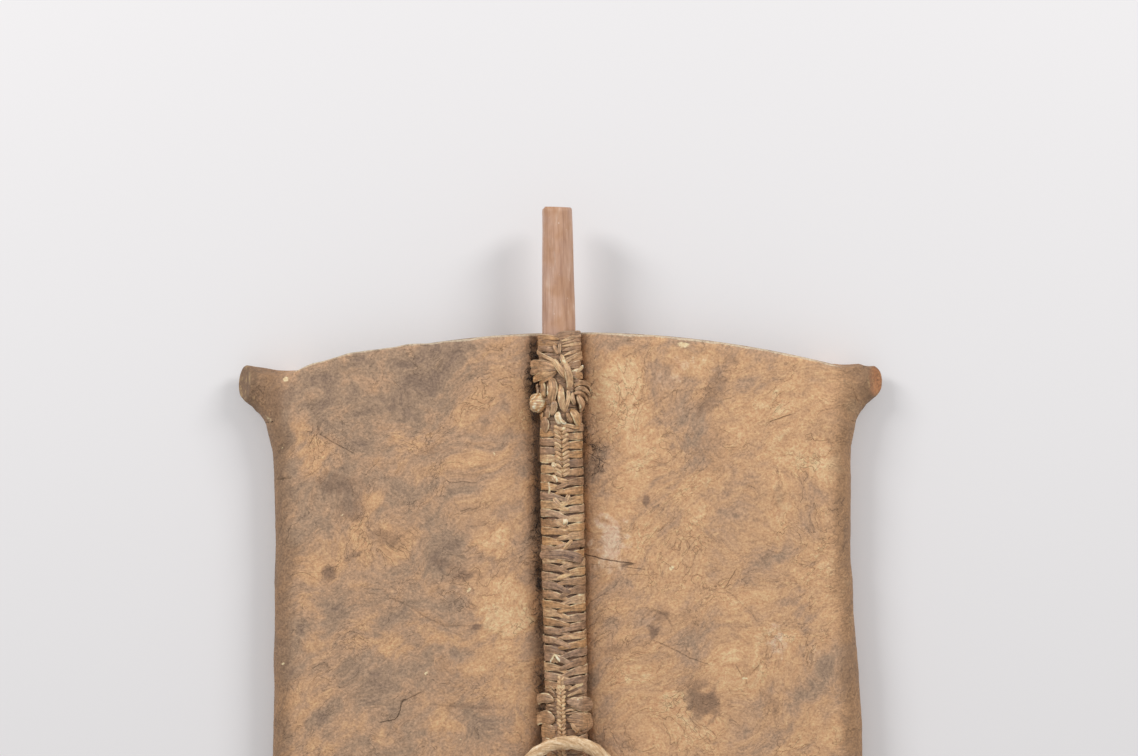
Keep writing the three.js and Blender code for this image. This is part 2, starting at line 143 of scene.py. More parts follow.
# The nubs: each corner of the wet sheet was pulled out and squeezed round, and the end cut off flat, so
# the cut looks out and up. Each nub: its sides, how far along its cut lies, the cut's radius and the
# slope that it leaves the hide at, in degrees.
NUB_TIP_Z = 17.5
NUB_ROOT_RADIUS, NUB_SPINE_START_Y = 8.2, 232.0
NUB_SIDES, NUB_SPINE_STATIONS, NUB_ARM_STATIONS = 56, 17, 50
NUB_REACH, NUB_LOOKS = 27.0, 56
NUB_LEAN, NUB_SAG, NUB_END_LENGTH = 0.06, 5.5, 15.0
NUB_ROOT_IN, NUB_ROOT_DOWN, NUB_LEAVE = 4.0, 24.0, (2.0, 11.0, 0.0)
FILLET, TUCK = 19.0, 0.4
NOWHERE = 1e3
NUBS = [
    (-1, 1, 294.6, 10.6, 29), (1, 1, 288.6, 8.8, 38),
    (1, -1, 294.0, 10.2, 30), (-1, -1, 288.4, 9.4, 36),
]


def nub_path(side_x, side_y, tip_y, tip_radius, slope):
    """Points down the middle of one nub with a direction and a radius at each, and where the nub starts."""
    rise = math.radians(slope)
    axis = np.array([math.cos(rise), NUB_LEAN, math.sin(rise)])
    axis /= np.linalg.norm(axis)
    tip = np.array([hide_high.x - (tip_radius + 0.4) * math.sin(rise), tip_y, NUB_TIP_Z])
    spine_x = half_width_at(NUB_SPINE_START_Y) - ROLL_RADIUS
    root = np.array([spine_x + NUB_ROOT_IN, tip_y - NUB_ROOT_DOWN, ROLL_RADIUS])
    leave = root + np.array(NUB_LEAVE)
    arrive = tip - axis * NUB_END_LENGTH - np.array([0.0, NUB_SAG, 0.0])
    spine = np.linspace([spine_x, NUB_SPINE_START_Y, ROLL_RADIUS], root, NUB_SPINE_STATIONS + 1)[:-1]
    part = np.linspace(0, 1, NUB_ARM_STATIONS)[:, None]
    arm = ((1 - part) ** 3 * root + 3 * part * (1 - part) ** 2 * leave + 3 * part**2 * (1 - part) * arrive
           + part**3 * tip)
    points = np.concatenate([spine, arm]) * np.array([side_x, side_y, 1])
    slim = smoothstep(np.linspace(0, 1, NUB_ARM_STATIONS), 0.1, 0.8)
    arm_radii = NUB_ROOT_RADIUS + (tip_radius - NUB_ROOT_RADIUS) * slim
    radii = np.concatenate([np.full(NUB_SPINE_STATIONS, 1.0), arm_radii])
    directions = np.gradient(points, axis=0)
    directions /= np.linalg.norm(directions, axis=1, keepdims=True)
    turned = smoothstep(part, 0.5, 1.0)
    directions[NUB_SPINE_STATIONS:] *= 1 - turned
    directions[NUB_SPINE_STATIONS:] += turned * axis * np.array([side_x, side_y, 1])
    directions /= np.linalg.norm(directions, axis=1, keepdims=True)
    return points, directions, radii, NUB_SPINE_STATIONS


def sheet_gap(points):
    """How far points lie outside the sheet, with its rolled sides taken as solid, in mm."""
    across, along = np.abs(points[..., 0]), np.abs(points[..., 1])
    roll_x = half_width_at(along) - ROLL_RADIUS
    top = front_z_at(np.minimum(across, roll_x), along)
    slab = np.maximum(points[..., 2] - top, top - HIDE_THICKNESS - points[..., 2])
    roll = np.hypot(across - roll_x, points[..., 2] - ROLL_RADIUS) - ROLL_RADIUS
    return np.maximum(np.minimum(np.where(across < roll_x, slab, NOWHERE), roll), along - end_y_at(across))


def nub_gap(points, nub):
    """How far points lie outside one nub, in mm."""
    centres, _, radii, first = nub_path(*nub)
    gap = np.full(points.shape[:-1], NOWHERE)
    for centre, radius in zip(centres[first:], radii[first:]):
        gap = np.minimum(gap, np.linalg.norm(points - centre, axis=-1) - radius)
    return gap


def gap_to_nubs(points):
    return np.min([nub_gap(points, nub) for nub in NUBS], axis=0)


def skin_gap(points, nub):
    """How far points lie outside the skin that flows from the sheet into a nub. Away from the nub it
    lies just under the sheet's own face."""
    sheet, arm = sheet_gap(points), nub_gap(points, nub)
    share = np.maximum(FILLET - np.abs(sheet - arm), 0) / FILLET
    flow = share**2 * FILLET / 4
    return np.minimum(sheet, arm) - flow + TUCK * (1 - smoothstep(flow, 0.05, 0.5))


# Scars: the points each runs through in mm, its half width, its depth and how dark it is.
SCARS = [
    ([(-163, 261), (-158, 260), (-150, 255), (-139, 249)], 0.55, 1.0, 0.55),
    ([(-158, 268), (-158.6, 262), (-162, 256)], 0.5, 0.7, 0.6),
    ([(-152, 266), (-144, 260), (-137, 254)], 0.5, 0.5, 0.16),
    ([(-99, 89), (-107, 86), (-108, 79), (-111, 74), (-117, 73)], 0.5, 0.9, 0.8),
    ([(-95, 91), (-101, 88)], 0.6, 0.6, 0.5),
    ([(-111, 152), (-100, 147), (-89, 139), (-78, 134), (-67, 134)], 0.9, 0.9, 0.3),
    ([(-84, 83), (-67, 81), (-44, 80)], 0.9, 0.4, 0.22),
    ([(17, 178), (29, 175), (42, 173)], 0.6, 1.1, 0.9),
    ([(42, 170), (49, 169)], 0.5, 0.6, 0.5),
    ([(53, 138), (58, 142), (65, 139), (68, 134)], 1.1, 0.5, 0.35),
    ([(101, 157), (110, 150), (121, 139), (127, 130), (132, 117), (129, 106), (117, 97)], 1.0, 0.5, 0.2),
    ([(107, 159), (110, 164)], 0.5, 0.6, 0.6),
    ([(113, 101), (116, 96), (122, 101), (128, 106)], 0.6, 0.7, 0.45),
    ([(65, 119), (73, 115), (82, 110), (90, 107)], 0.7, 0.7, 0.4),
    ([(139, 264), (147, 266.5)], 0.55, 0.7, 0.6),
    ([(20, 243), (25, 240)], 0.6, 0.4, 0.6),
    ([(-174, 286), (-166, 280), (-160, 272)], 0.7, 0.5, 0.2),
    ([(-170, 282), (-163, 275), (-158, 267)], 0.6, 0.5, 0.2),
    ([(30, 262), (42, 271), (57, 279)], 0.8, 0.5, 0.25),
    ([(62, 276), (70, 281), (80, 290)], 0.8, 0.5, 0.25),
    ([(24, 222), (38, 231), (50, 236)], 0.8, 0.5, 0.2),
    ([(-60, 184), (-48, 190), (-40, 200)], 0.8, 0.5, 0.2),
    ([(-132, 236), (-121, 240), (-108, 240)], 0.8, 0.4, 0.2),
    ([(140, -96), (128, -90), (121, -80)], 0.6, 0.8, 0.6),
    ([(-92, -168), (-80, -176), (-66, -174)], 0.6, 0.8, 0.6),
    ([(-48, -262), (-40, -268)], 0.6, 0.6, 0.5),
    ([(70, -215), (84, -222), (98, -220), (112, -232)], 0.9, 0.6, 0.3),
]
# Patches of colour: the middle in mm, the half sizes, the slant in degrees and the strength.
STAINS = [
    ((-146, 226), (15, 9), -20, 0.9), ((-136, 213), (9, 13), -30, 0.8), ((-131, 228), (10, 5), -10, 0.6),
    ((-116, 192), (15, 7), -15, 0.7), ((-99, 198), (6, 9), 0, 0.45), ((-58, 232), (16, 7), 15, 0.5),
    ((-183, 284), (13, 11), 20, 0.7), ((-86, 249), (6.5, 6), 0, 0.6), ((-153, 169), (4.5, 7), -35, 1.1),
    ((-136, 181), (8, 2.5), 25, 0.9), ((-63, 167), (11, 4.5), 0, 0.9), ((-80, 176), (14, 4), -20, 0.7),
    ((-58, 133), (4.5, 2.6), 0, 1.2), ((-75, 100), (27, 13), -5, 0.5), ((-60, 81), (24, 4), -3, 0.6),
    ((-72, 249), (3.5, 2.5), 0, 0.6), ((-63, 245), (3, 3), 0, 0.6), ((54, 214), (3.0, 3.4), 0, 1.4),
    ((100, 285), (8, 26), -32, 0.75), ((99, 245), (16, 22), 20, 0.55), ((142, 213), (9, 9), 0, 0.6),
    ((96, 215), (9, 14), 10, 0.35), ((22, 243), (6, 16), 0, 0.45), ((58, 128), (5, 6.5), 10, 1.1),
    ((62, 138), (8, 4), 10, 0.7), ((84, 134), (12, 8), -20, 0.5), ((89, 80), (13, 13), 0, 1.1),
    ((84, 92), (15, 6), 5, 0.8), ((132, 82), (6, 11), 20, 0.6), ((43, 60), (11, 7), 0, 0.4),
    ((40, 119), (24, 4.5), 8, 0.6), ((28, 290), (16, 8), 20, 0.35), ((-20, 280), (5, 30), 0, 0.3),
    ((88, -120), (16, 10), 30, 0.7), ((-110, -70), (18, 9), -20, 0.6), ((-60, -210), (14, 9), 10, 0.7),
    ((120, -250), (12, 16), 0, 0.5), ((-150, -180), (9, 14), 20, 0.5), ((40, -160), (10, 6), 0, 0.4),
]
AMBERS = [
    ((-162, 246), (11, 13), 0, 0.9), ((-122, 217), (10, 6), 10, 0.9), ((-173, 268), (7, 8), 0, 0.6),
    ((-61, 243), (13, 5), 15, 0.5), ((-44, 188), (12, 9), 0, 0.6), ((-30, 268), (22, 6), 15, 0.45),
    ((-78, 210), (6, 5), 0, 0.35), ((-38, 137), (17, 12), -10, 1.0), ((-34, 157), (12, 9), 0, 0.9),
    ((-37, 118), (9, 9), 0, 0.9), ((-84, 128), (22, 5), -18, 0.8), ((-112, 121), (12, 8), 0, 0.7),
    ((-62, 107), (13, 4.5), 0, 0.7), ((-80, 69), (12, 8), 0, 0.7), ((-119, 63), (9, 8), 0, 0.6),
    ((-165, 150), (9, 34), 0, 0.5), ((-172, 62), (10, 34), 0, 0.4), ((81, 303), (18, 9), 0, 0.8),
    ((38, 290), (15, 20), 30, 0.8), ((118, 270), (30, 10), 30, 0.4), ((150, 230), (22, 60), 0, 0.3),
    ((44, 235), (16, 34), -10, 0.5), ((60, 190), (30, 14), 20, 0.4), ((40, 104), (20, 8), 0, 0.5),
    ((110, 120), (16, 22), 0, 0.35), ((60, 80), (26, 26), 0, 0.3),
    ((100, -60), (40, 30), 0, 0.5), ((-120, -130), (30, 40), 20, 0.5), ((60, -240), (40, 22), 0, 0.5),
]
SCRAPES = [
    ((31, 189), (10, 15), 10, 1.1), ((30, 174), (12, 8), -10, 0.7), ((138, 121), (7, 9), 0, 0.7),
    ((159, 110), (9, 8), 0, 0.4), ((52, 134), (5, 5), 0, 0.6), ((80, 300), (12, 5), 0, 0.5),
    ((-43, 287), (5, 4), 0, 0.4), ((70, 292), (14, 7), 10, 0.4), ((-80, 160), (12, 10), 0, 0.25),
]
CHIPS = [
    ((80.5, 314.0), (4.2, 1.8), -5, 1.3), ((-178.5, 296.6), (2.2, 1.7), 20, 1.1), ((-102, 289),
    (1.0, 1.4), 0, 1.0),
    ((-44, 245), (0.8, 3.0), -30, 0.9), ((-144, 207), (1.2, 1.2), 0, 1.0), ((-182, 252),
    (1.4, 1.6), 0, 0.8),
    ((-62, 157), (1.1, 1.1), 0, 1.4), ((-91, 103), (1.2, 1.2), 0, 1.4), ((-66, 80), (1.1, 1.1), 0, 1.3),
    ((-184, 111), (1.6, 1.2), 0, 0.9), ((70, 169), (1.5, 1.5), 0, 1.6), ((116, 96), (1.2, 1.0), 0, 1.4),
    ((-191, 271), (2.2, 4.0), 40, 0.6), ((-70, 60), (1.2, 1.2), 0, 0.9), ((52, 92), (1.5, 1.0), 0, 0.7),
    ((126, 277), (1.3, 1.3), 0, 0.8), ((96, 140), (1.2, 1.2), 0, 0.7), ((-31, 110), (1.2, 1.0), 0, 0.8),
]


def signed_gap(x, y, points):
    """How far to the left or right of a scar each place lies, and how far away it is."""
    nearest = np.full(x.shape, NOWHERE)
    signed = np.full(x.shape, NOWHERE)
    for (ax, ay), (bx, by) in zip(points, points[1:]):
        length = math.hypot(bx - ax, by - ay)
        ux, uy = (bx - ax) / length, (by - ay) / length
        along = (x - ax) * ux + (y - ay) * uy
        across = (y - ay) * ux - (x - ax) * uy
        gap = np.hypot(along - np.clip(along, 0, length), across)
        closer = gap < nearest
        nearest = np.where(closer, gap, nearest)
        signed = np.where(closer, across, signed)
    return signed, nearest


def patches(x, y, marks, ragged=0.3):
    """Soft patches whose outlines are broken up by a small ripple."""
    broken = ragged * ripple(x, y, 71, 5, 20)
    total = np.zeros_like(x)
    for (cx, cy), (rx, ry), slant, strength in marks:
        turn = math.radians(slant)
        along = (x - cx) * math.cos(turn) + (y - cy) * math.sin(turn)
        across = (y - cy) * math.cos(turn) - (x - cx) * math.sin(turn)
        reach = np.hypot(along / rx, across / ry) + broken
        total = np.maximum(total, strength * (1 - smoothstep(reach, 0.35, 1.5)))
    return total


front = front_grid()
normals = np.cross(np.gradient(front, axis=1), np.gradient(front, axis=0))
normals /= np.linalg.norm(normals, axis=-1, keepdims=True)
front_x, front_y = front[..., 0], front[..., 1]
column = np.abs(np.arange(front.shape[1]) - front.shape[1] // 2)
seen = 1 - smoothstep(column, CROWN_COLUMNS + 12.0, CROWN_COLUMNS + 19.0)[None, :]
relief = 0.9 * ripple(front_x, front_y, 3, 90, 260) + 0.3 * ripple(front_x, front_y, 4, 24, 70)
relief += 0.1 * ripple(front_x, front_y, 5, 7, 16)
near_nub = np.min([np.linalg.norm(front - nub_path(*nub)[0][-12], axis=-1) for nub in NUBS], axis=0)
relief = relief * smoothstep(near_nub, 24, 60)
NO_SCAR = 9.0
scar_signed = np.full(front_x.shape, NO_SCAR)
scar_dark = np.zeros(front_x.shape)
for points, half_width, depth, dark in SCARS:
    signed, gap = signed_gap(front_x, front_y, points)
    dip = np.exp(-(gap / (1.3 * half_width)) ** 2)
    relief += 0.45 * depth * np.exp(-((gap - 3 * half_width) / (2 * half_width)) ** 2) - depth * dip
    nearer = (np.abs(signed) / half_width < np.abs(scar_signed)) & (gap < 7)
    scar_signed = np.where(nearer, signed / half_width, scar_signed)
    scar_dark = np.where(nearer, dark * (1 - smoothstep(gap, 2.5, 6.5)), scar_dark)
back = front - normals * (HIDE_THICKNESS - 0.5 * (relief * seen)[..., None])
back = back[::BACK_STEP, ::BACK_STEP]
back[..., 2] = np.maximum(back[..., 2], 0.2)
front = front + normals * (relief * seen)[..., None]
# The stick lies nearer the right side of its groove.
steeper = smoothstep(front_x, STRIP_HALF, GROOVE_HALF - 7) - smoothstep(front_x, STRIP_HALF, GROOVE_HALF)
front[..., 2] += (CROWN_Z - STRIP_Z) * steeper
# The left end of the top edge stands a little higher than the right.
LEFT_STAND = 3.2
front[..., 1] += (LEFT_STAND * smoothstep(-front_x, 60, 140) * (1 - smoothstep(-front_x, 142, 192))
                  * smoothstep(front_y, 230, 310))
rim_wave = 0.55 * ripple(front_x, front_y, 8, 10, 60)
for row, share in ((0, 1.0), (1, 0.45), (2, 0.15), (-1, 1.0), (-2, 0.45), (-3, 0.15)):
    front[row, :, 1] += math.copysign(share, row + 0.5) * (0.7 + rim_wave[row])
    front[row, :, 2] -= share * 1.1
front[..., 2] = np.maximum(front[..., 2], 0.0)

faces = []
for grid, start, way in ((front, 0, 1), (back, front.shape[0] * front.shape[1], -1)):
    rows, columns = grid.shape[:2]
    corner = np.arange(rows * columns).reshape(rows, columns)[:-1, :-1] + start
    quads = np.stack([corner, corner + 1, corner + columns + 1, corner + columns], axis=-1)
    faces += quads.reshape(-1, 4)[:, ::way].tolist()


def border(grid, start):
    """Point numbers once round a grid's border."""
    index = np.arange(grid.shape[0] * grid.shape[1]).reshape(grid.shape[:2]) + start
    return np.concatenate([index[0, :-1], index[:-1, -1], index[-1, :0:-1], index[:0:-1, 0]])


# The cut edge has a row of points half way down, and three lengths of the front to one of the back.
hide_points = np.concatenate([front.reshape(-1, 3), back.reshape(-1, 3)])
back_start, rim_start = front.shape[0] * front.shape[1], len(hide_points)
front_rim = border(front, 0)
back_rim = border(back, back_start)
rim_count = len(front_rim)
place = np.arange(rim_count) / BACK_STEP
before = hide_points[back_rim[place.astype(int) % len(back_rim)]]
after = hide_points[back_rim[(place.astype(int) + 1) % len(back_rim)]]
share = (place % 1)[:, None]
middle = 0.45 * hide_points[front_rim] + 0.55 * (before * (1 - share) + after * share)
middle += 0.18 * np.random.RandomState(12).uniform(-1, 1, (rim_count, 3))
middle[:, 2] = np.maximum(middle[:, 2], 0.1)
hide_points = np.concatenate([hide_points, middle])
for k in range(rim_count):
    step = (k + 1) % rim_count
    faces.append([front_rim[step], front_rim[k], rim_start + k, rim_start + step])
for k in range(len(back_rim)):
    run = [rim_start + (k * BACK_STEP + step) % rim_count for step in range(BACK_STEP, -1, -1)]
    faces.append(run + [back_rim[k], back_rim[(k + 1) % len(back_rim)]])

# Each nub's skin is found by looking outward from the line down its middle, ring by ring.
nub_start = len(hide_points)
nub_face = []
steps = np.linspace(0, NUB_REACH, NUB_LOOKS)
angle = np.linspace(0, 2 * math.pi, NUB_SIDES, endpoint=False)
for number, nub in enumerate(NUBS):
    centres, directions, radii, first_arm = nub_path(*nub)
    wide = np.array([0.0, 1.0, 0.0]) - directions * directions[:, 1:2]
    along_y = np.abs(directions[:, 1:2])
    wide = wide * (1 - along_y) + np.array([-nub[0] * nub[1], 0.0, 0.0]) * along_y
    wide -= directions * (wide * directions).sum(axis=1, keepdims=True)
    wide /= np.linalg.norm(wide, axis=1, keepdims=True)
    deep = np.cross(directions, wide)
    rays = np.cos(angle)[None, :, None] * wide[:, None] + np.sin(angle)[None, :, None] * deep[:, None]
    looked = centres[:, None, None] + rays[:, :, None] * steps[:, None]
    gaps = skin_gap(looked, nub)
    first_out = np.argmax(gaps > 0, axis=-1)
    last_in = len(steps) - 1 - np.argmax(gaps[..., ::-1] < 0, axis=-1)
    station = np.arange(len(centres))[:, None]
    hit = np.where((rays[..., 2] > 0.12) & (station < first_arm + 18), last_in + 1, first_out)
    hit = np.where(gaps.max(axis=-1) > 0, np.clip(hit, 1, len(steps) - 1), len(steps) - 1)
    before = np.take_along_axis(gaps, hit[..., None] - 1, -1)
    after = np.take_along_axis(gaps, hit[..., None], -1)
    part = np.clip(before / np.where(before == after, -1, before - after), 0, 1)
    far = steps[hit - 1] + part[..., 0] * (steps[1] - steps[0])
    on_arm = smoothstep(station, first_arm + 12.0, first_arm + 30.0)
    far = far * (1 + on_arm * (0.03 * np.cos(2 * angle + number) + 0.02 * np.cos(3 * angle + 2 * number)))
    pleats = 0.45 * np.cos(9 * angle + 0.13 * station) + 0.25 * np.cos(16 * angle - 0.2 * station + number)
    far = far + pleats * np.exp(-((station - len(centres) + 13) / 8.0) ** 2)
    far[-1] -= 0.5
    rings = centres[:, None] + rays * far[..., None]
    cut = rings[-1] - centres[-1]
    dish = directions[-1] * 0.6
    caps = [(centres[-1] + cut * shrink - dish * (1 - shrink))[None] for shrink in (0.9, 0.72, 0.5, 0.25)]
    rings = np.concatenate([rings] + caps)
    rings[..., 2] = np.clip(rings[..., 2], 0.3, None)
    rings[..., 0] = np.clip(rings[..., 0], hide_low.x + 0.2, hide_high.x - 0.2)
    first = len(hide_points)
    hide_points = np.concatenate([hide_points, rings.reshape(-1, 3)])
    outer_way = 1 if nub[0] * nub[1] < 0 else -1
    for k in range(len(rings) - 1):
        near = first + k * NUB_SIDES
        for side in range(NUB_SIDES):
            step = (side + 1) % NUB_SIDES
            quad = [near + side, near + step, near + NUB_SIDES + step, near + NUB_SIDES + side]
            faces.append(quad[::outer_way])
    root_ring = list(range(first, first + NUB_SIDES))
    tip_ring = list(range(len(hide_points) - NUB_SIDES, len(hide_points)))
    faces += [root_ring[::-outer_way], tip_ring[::outer_way]]
    ring_number = np.repeat(np.arange(len(rings)), NUB_SIDES)
    nub_face.append(smoothstep(ring_number.astype(float), len(centres) - 3.0, len(centres) + 0.5))


def new_piece(name, points_mm, faces):
    """A smooth-shaded mesh piece that rides on the shield's one body."""
    mesh = bpy.data.meshes.new(name)
    mesh.from_pydata((np.asarray(points_mm) * MM).tolist(), [], faces)
    mesh.polygons.foreach_set("use_smooth", [True] * len(mesh.polygons))
    mesh.update()
    piece = bpy.data.objects.new(name, mesh)
    bpy.context.scene.collection.objects.link(piece)
    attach(piece, "root")
    return piece


def set_marks(piece, **marks):
    """Values at the points that a material reads by name, such as how stained each place is."""
    for mark, values in marks.items():
        layer = piece.data.attributes.new(mark, "FLOAT", "POINT")
        layer.data.foreach_set("value", np.asarray(values, np.float32).ravel())


hide_piece = new_piece("hide_skin", hide_points, faces)
px, py, pz = hide_points.T
total = len(hide_points)


def on_front(values, elsewhere=0.0):
    """Values for the whole piece from values for the front, with one value for the rest."""
    whole = np.full(total, float(elsewhere))
    whole[:back_start] = np.asarray(values).ravel()
    return whole


cut = np.zeros(total)
cut[rim_start:nub_start] = 1
for row in (0, -1):
    cut[np.arange(back_start).reshape(front.shape[:2])[row]] = 1
is_back = np.zeros(total)
is_back[back_start:rim_start] = 1
face_mark = np.zeros(total)
face_mark[nub_start:] = np.concatenate(nub_face)
# Painted shade: the hide is darkened in the recess along each side of the stick, broader and stronger on
# the left.
groove = 0.85 * np.exp(-((px + 15.2) / 4.6) ** 2) + 0.4 * np.exp(-((px - 14.2) / 2.8) ** 2)
groove = groove * (np.abs(py) < END_Y - 1) * (pz > 2) * (0.85 + 0.3 * ripple(px, py, 31, 9, 40))
# Darker towards the rolled side edges: partly the hide's own colour, partly painted shade where the rolls
# turn away.
edge_gap = half_width_at(py) - np.abs(px)
edge = 1 - smoothstep(edge_gap + 2 * ripple(px, py, 32, 20, 90), 5, 23)
warm = 0.47 + 0.09 * np.tanh((px - 10) / 60) + 0.08 * ripple(px, py, 33, 40, 160)
warm += 0.1 * np.exp(-((px + 42) / 24) ** 2)
warm += 0.3 * patches(px, py, AMBERS) - 0.1 * smoothstep(py, 230, 330) * (px < 0)
from_nubs = gap_to_nubs(hide_points)
set_marks(hide_piece, stain=patches(px, py, STAINS), warm=warm, scrape=patches(px, py, SCRAPES, 0.45),
          chip=patches(px, py, CHIPS, 0.15), scar=on_front(scar_signed, NO_SCAR),
          scar_dark=on_front(scar_dark), cut=cut * smoothstep(from_nubs, 8, 26),
          nub=np.clip(1 - from_nubs / 9, 0, 1), nub_face=face_mark, groove=groove, edge=edge, back=is_back)


def linear(code):
    """An sRGB hex colour as the linear colour that a shader socket takes."""
    channels = [int(code[k:k + 2], 16) / 255 for k in (1, 3, 5)]
    return [c / 12.92 if c <= 0.04045 else ((c + 0.055) / 1.055) ** 2.4 for c in channels] + [1.0]


def add_node(tree, kind, inputs, out=0, stops=(), **settings):
    """Adds one shader node and gives back one of its outputs. An input is a value, or an output to link
    from; stops are the places and colours of a ramp."""
    node = tree.nodes.new("ShaderNode" + kind)
    for name, value in settings.items():
        setattr(node, name, value)
    for name, value in inputs.items():
        if isinstance(value, bpy.types.NodeSocket):
            tree.links.new(value, node.inputs[name])
        else:
            node.inputs[name].default_value = value
    for k, (place, colour) in enumerate(stops):
        ramp = node.color_ramp.elements
        element = ramp[k] if k < len(ramp) else ramp.new(place)
        element.position, element.color = place, colour
    return node.outputs[out] if len(node.outputs) else None


def finish_material(material, tree, colour, roughness, height, depth_mm, **flat):
    """The last nodes of a material: bump of a depth in mm, the shader and the output."""
    normal = add_node(tree, "Bump", {"Height": height, "Distance": depth_mm * MM, "Strength": 1.0})
    inputs = {"Base Color": colour, "Roughness": roughness, "Normal": normal}
    inputs.update({name.replace("_", " "): value for name, value in flat.items()})
    shader = add_node(tree, "BsdfPrincipled", inputs)
    add_node(tree, "OutputMaterial", {"Surface": shader})


def new_material(name):
    material = bpy.data.materials.new(name)
    material.use_nodes = True
    material.node_tree.nodes.clear()
    return material, material.node_tree


# Raw hide, scraped and dried: dull, dense skin with fine creases. It is ochre where it is clean,
# grey-brown where it is dusty and purple-brown where it is stained. Its pores and fibres, too fine to
# show, are drawn as a grain 1 to 2 mm across.
hide_material, tree = new_material("raw_hide_scraped")
place = add_node(tree, "TexCoord", {}, out="Object")
pushed = place
for swirl_mm, push_mm in ((85, 60), (20, 12)):
    swirl = add_node(tree, "TexNoise", {"Vector": place, "Scale": 1 / (swirl_mm * MM), "Detail": 2.0},
                     out="Color")
    push = (push_mm * MM, push_mm * MM, 0.0)
    pushed = add_node(tree, "VectorMath", {0: swirl, 1: push, 2: pushed}, operation="MULTIPLY_ADD")
drawn = add_node(tree, "Mapping", {"Vector": pushed, "Rotation": (0, 0, math.radians(36)),
                                   "Scale": (1.5, 0.95, 1.0)}, vector_type="TEXTURE")
hide_marks = {}
for mark in ("stain", "warm", "scrape", "chip", "scar", "scar_dark", "cut", "nub", "nub_face", "groove",
             "edge", "back"):
    hide_marks[mark] = add_node(tree, "Attribute", {}, out="Fac", attribute_name=mark)
hide_noise = {}
for name, vector, size_mm, detail, roughness in (("patch", drawn, 30, 5.0, 0.52),
                                                 ("wisp", drawn, 12, 4.0, 0.52),
                                                 ("blot", pushed, 24, 5.0, 0.62),
                                                 ("fibre", drawn, 1.8, 4.0, 0.65),
                                                 ("mottle", pushed, 5.0, 4.0, 0.6),
                                                 ("grain", place, 1.5, 3.0, 0.65),
                                                 ("crease", drawn, 13, 4.0, 0.55),
                                                 ("fold", pushed, 9, 3.0, 0.5)):
    hide_noise[name] = add_node(tree, "TexNoise",
                                {"Vector": vector, "Scale": 1 / (size_mm * MM), "Detail": detail,
                                 "Roughness": roughness})


def hide_share(mark, noise, noise_weight, low, high, strength):
    """How much of a colour lies at each place: a mark plus some of a pattern, between two limits."""
    uneven = add_node(tree, "Math", {0: hide_noise[noise], 1: noise_weight, 2: hide_marks[mark]},
                      operation="MULTIPLY_ADD")
    return add_node(tree, "MapRange", {"Value": uneven, "From Min": low, "From Max": high,
                                       "To Max": strength}, interpolation_type="SMOOTHSTEP")


def thin_line(source, level, half_width):
    """1 along the line where a pattern crosses a level, falling to 0 at the line's sides."""
    off = add_node(tree, "Math", {0: source, 1: level}, operation="SUBTRACT")
    off = add_node(tree, "Math", {0: off}, operation="ABSOLUTE")
    return add_node(tree, "MapRange", {"Value": off, "From Min": half_width, "From Max": 0.0})


# Creases are fine curved lines that come and go, darkened below as painted shade.
fine_lines = []
for lines, where, low, high, level, half_width in (("crease", "blot", 0.46, 0.62, 0.5, 0.016),
                                                   ("fold", "patch", 0.5, 0.64, 0.47, 0.014)):
    here = add_node(tree, "MapRange", {"Value": hide_noise[where], "From Min": low, "From Max": high})
    line = thin_line(hide_noise[lines], level, half_width)
    fine_lines.append(add_node(tree, "Math", {0: line, 1: here}, operation="MULTIPLY"))
crease = add_node(tree, "Math", {0: fine_lines[0], 1: fine_lines[1]}, operation="MAXIMUM")
scar_wander = add_node(tree, "Math", {0: hide_noise["mottle"], 1: 2.4, 2: hide_marks["scar"]},
                       operation="MULTIPLY_ADD")
scar_core = thin_line(scar_wander, 1.2, 1.0)
scar_share = add_node(tree, "Math", {0: scar_core, 1: hide_marks["scar_dark"]}, operation="MULTIPLY")
hue = hide_marks["warm"]
for noise, weight in (("patch", 0.9), ("wisp", 0.75), ("mottle", 0.35), ("fibre", 0.12)):
    hue = add_node(tree, "Math", {0: hide_noise[noise], 1: weight, 2: hue}, operation="MULTIPLY_ADD")
hue = add_node(tree, "Math", {0: hue, 1: 1.06}, operation="SUBTRACT")
colour = add_node(tree, "ValToRGB", {"Fac": hue},
                  stops=((0.1, linear("#8c7462")), (0.28, linear("#a2866e")), (0.42, linear("#b39073")),
                         (0.54, linear("#c19874")), (0.68, linear("#cfa178")), (0.86, linear("#ddb48a"))))
for share, pigment in (
        (hide_share("stain", "wisp", 1.8, 1.15, 2.1, 0.6), "#856a56"),
        (hide_share("stain", "mottle", 1.3, 0.95, 1.9, 0.65), "#786050"),
        # darker edges: partly the hide's own colour, partly painted shade
        (hide_share("edge", "patch", 0.9, 0.6, 1.5, 0.62), "#7d5f45"),
        (hide_share("nub", "wisp", 1.4, 0.75, 1.7, 0.75), "#7c624c"),
        (hide_share("nub", "mottle", 2.0, 1.9, 2.3, 0.6), "#b79a70"),
        (hide_share("scrape", "mottle", 1.8, 1.15, 2.0, 0.6), "#e0c2aa"),
        # painted shade in the recess beside the stick
        (hide_share("groove", "mottle", 0.7, 0.5, 1.25, 0.7), "#4f3a2b"),
        (hide_share("chip", "grain", 0.8, 0.8, 1.2, 0.85), "#ead2a6"),
        (hide_share("cut", "mottle", 0.9, 0.85, 1.15, 0.75), "#cfbda3"),
        (hide_share("back", "patch", 0.6, 0.6, 1.3, 0.75), "#9a7650"),
        (scar_share, "#3b2b21")):
    colour = add_node(tree, "MixRGB", {"Fac": share, "Color1": colour, "Color2": linear(pigment)})
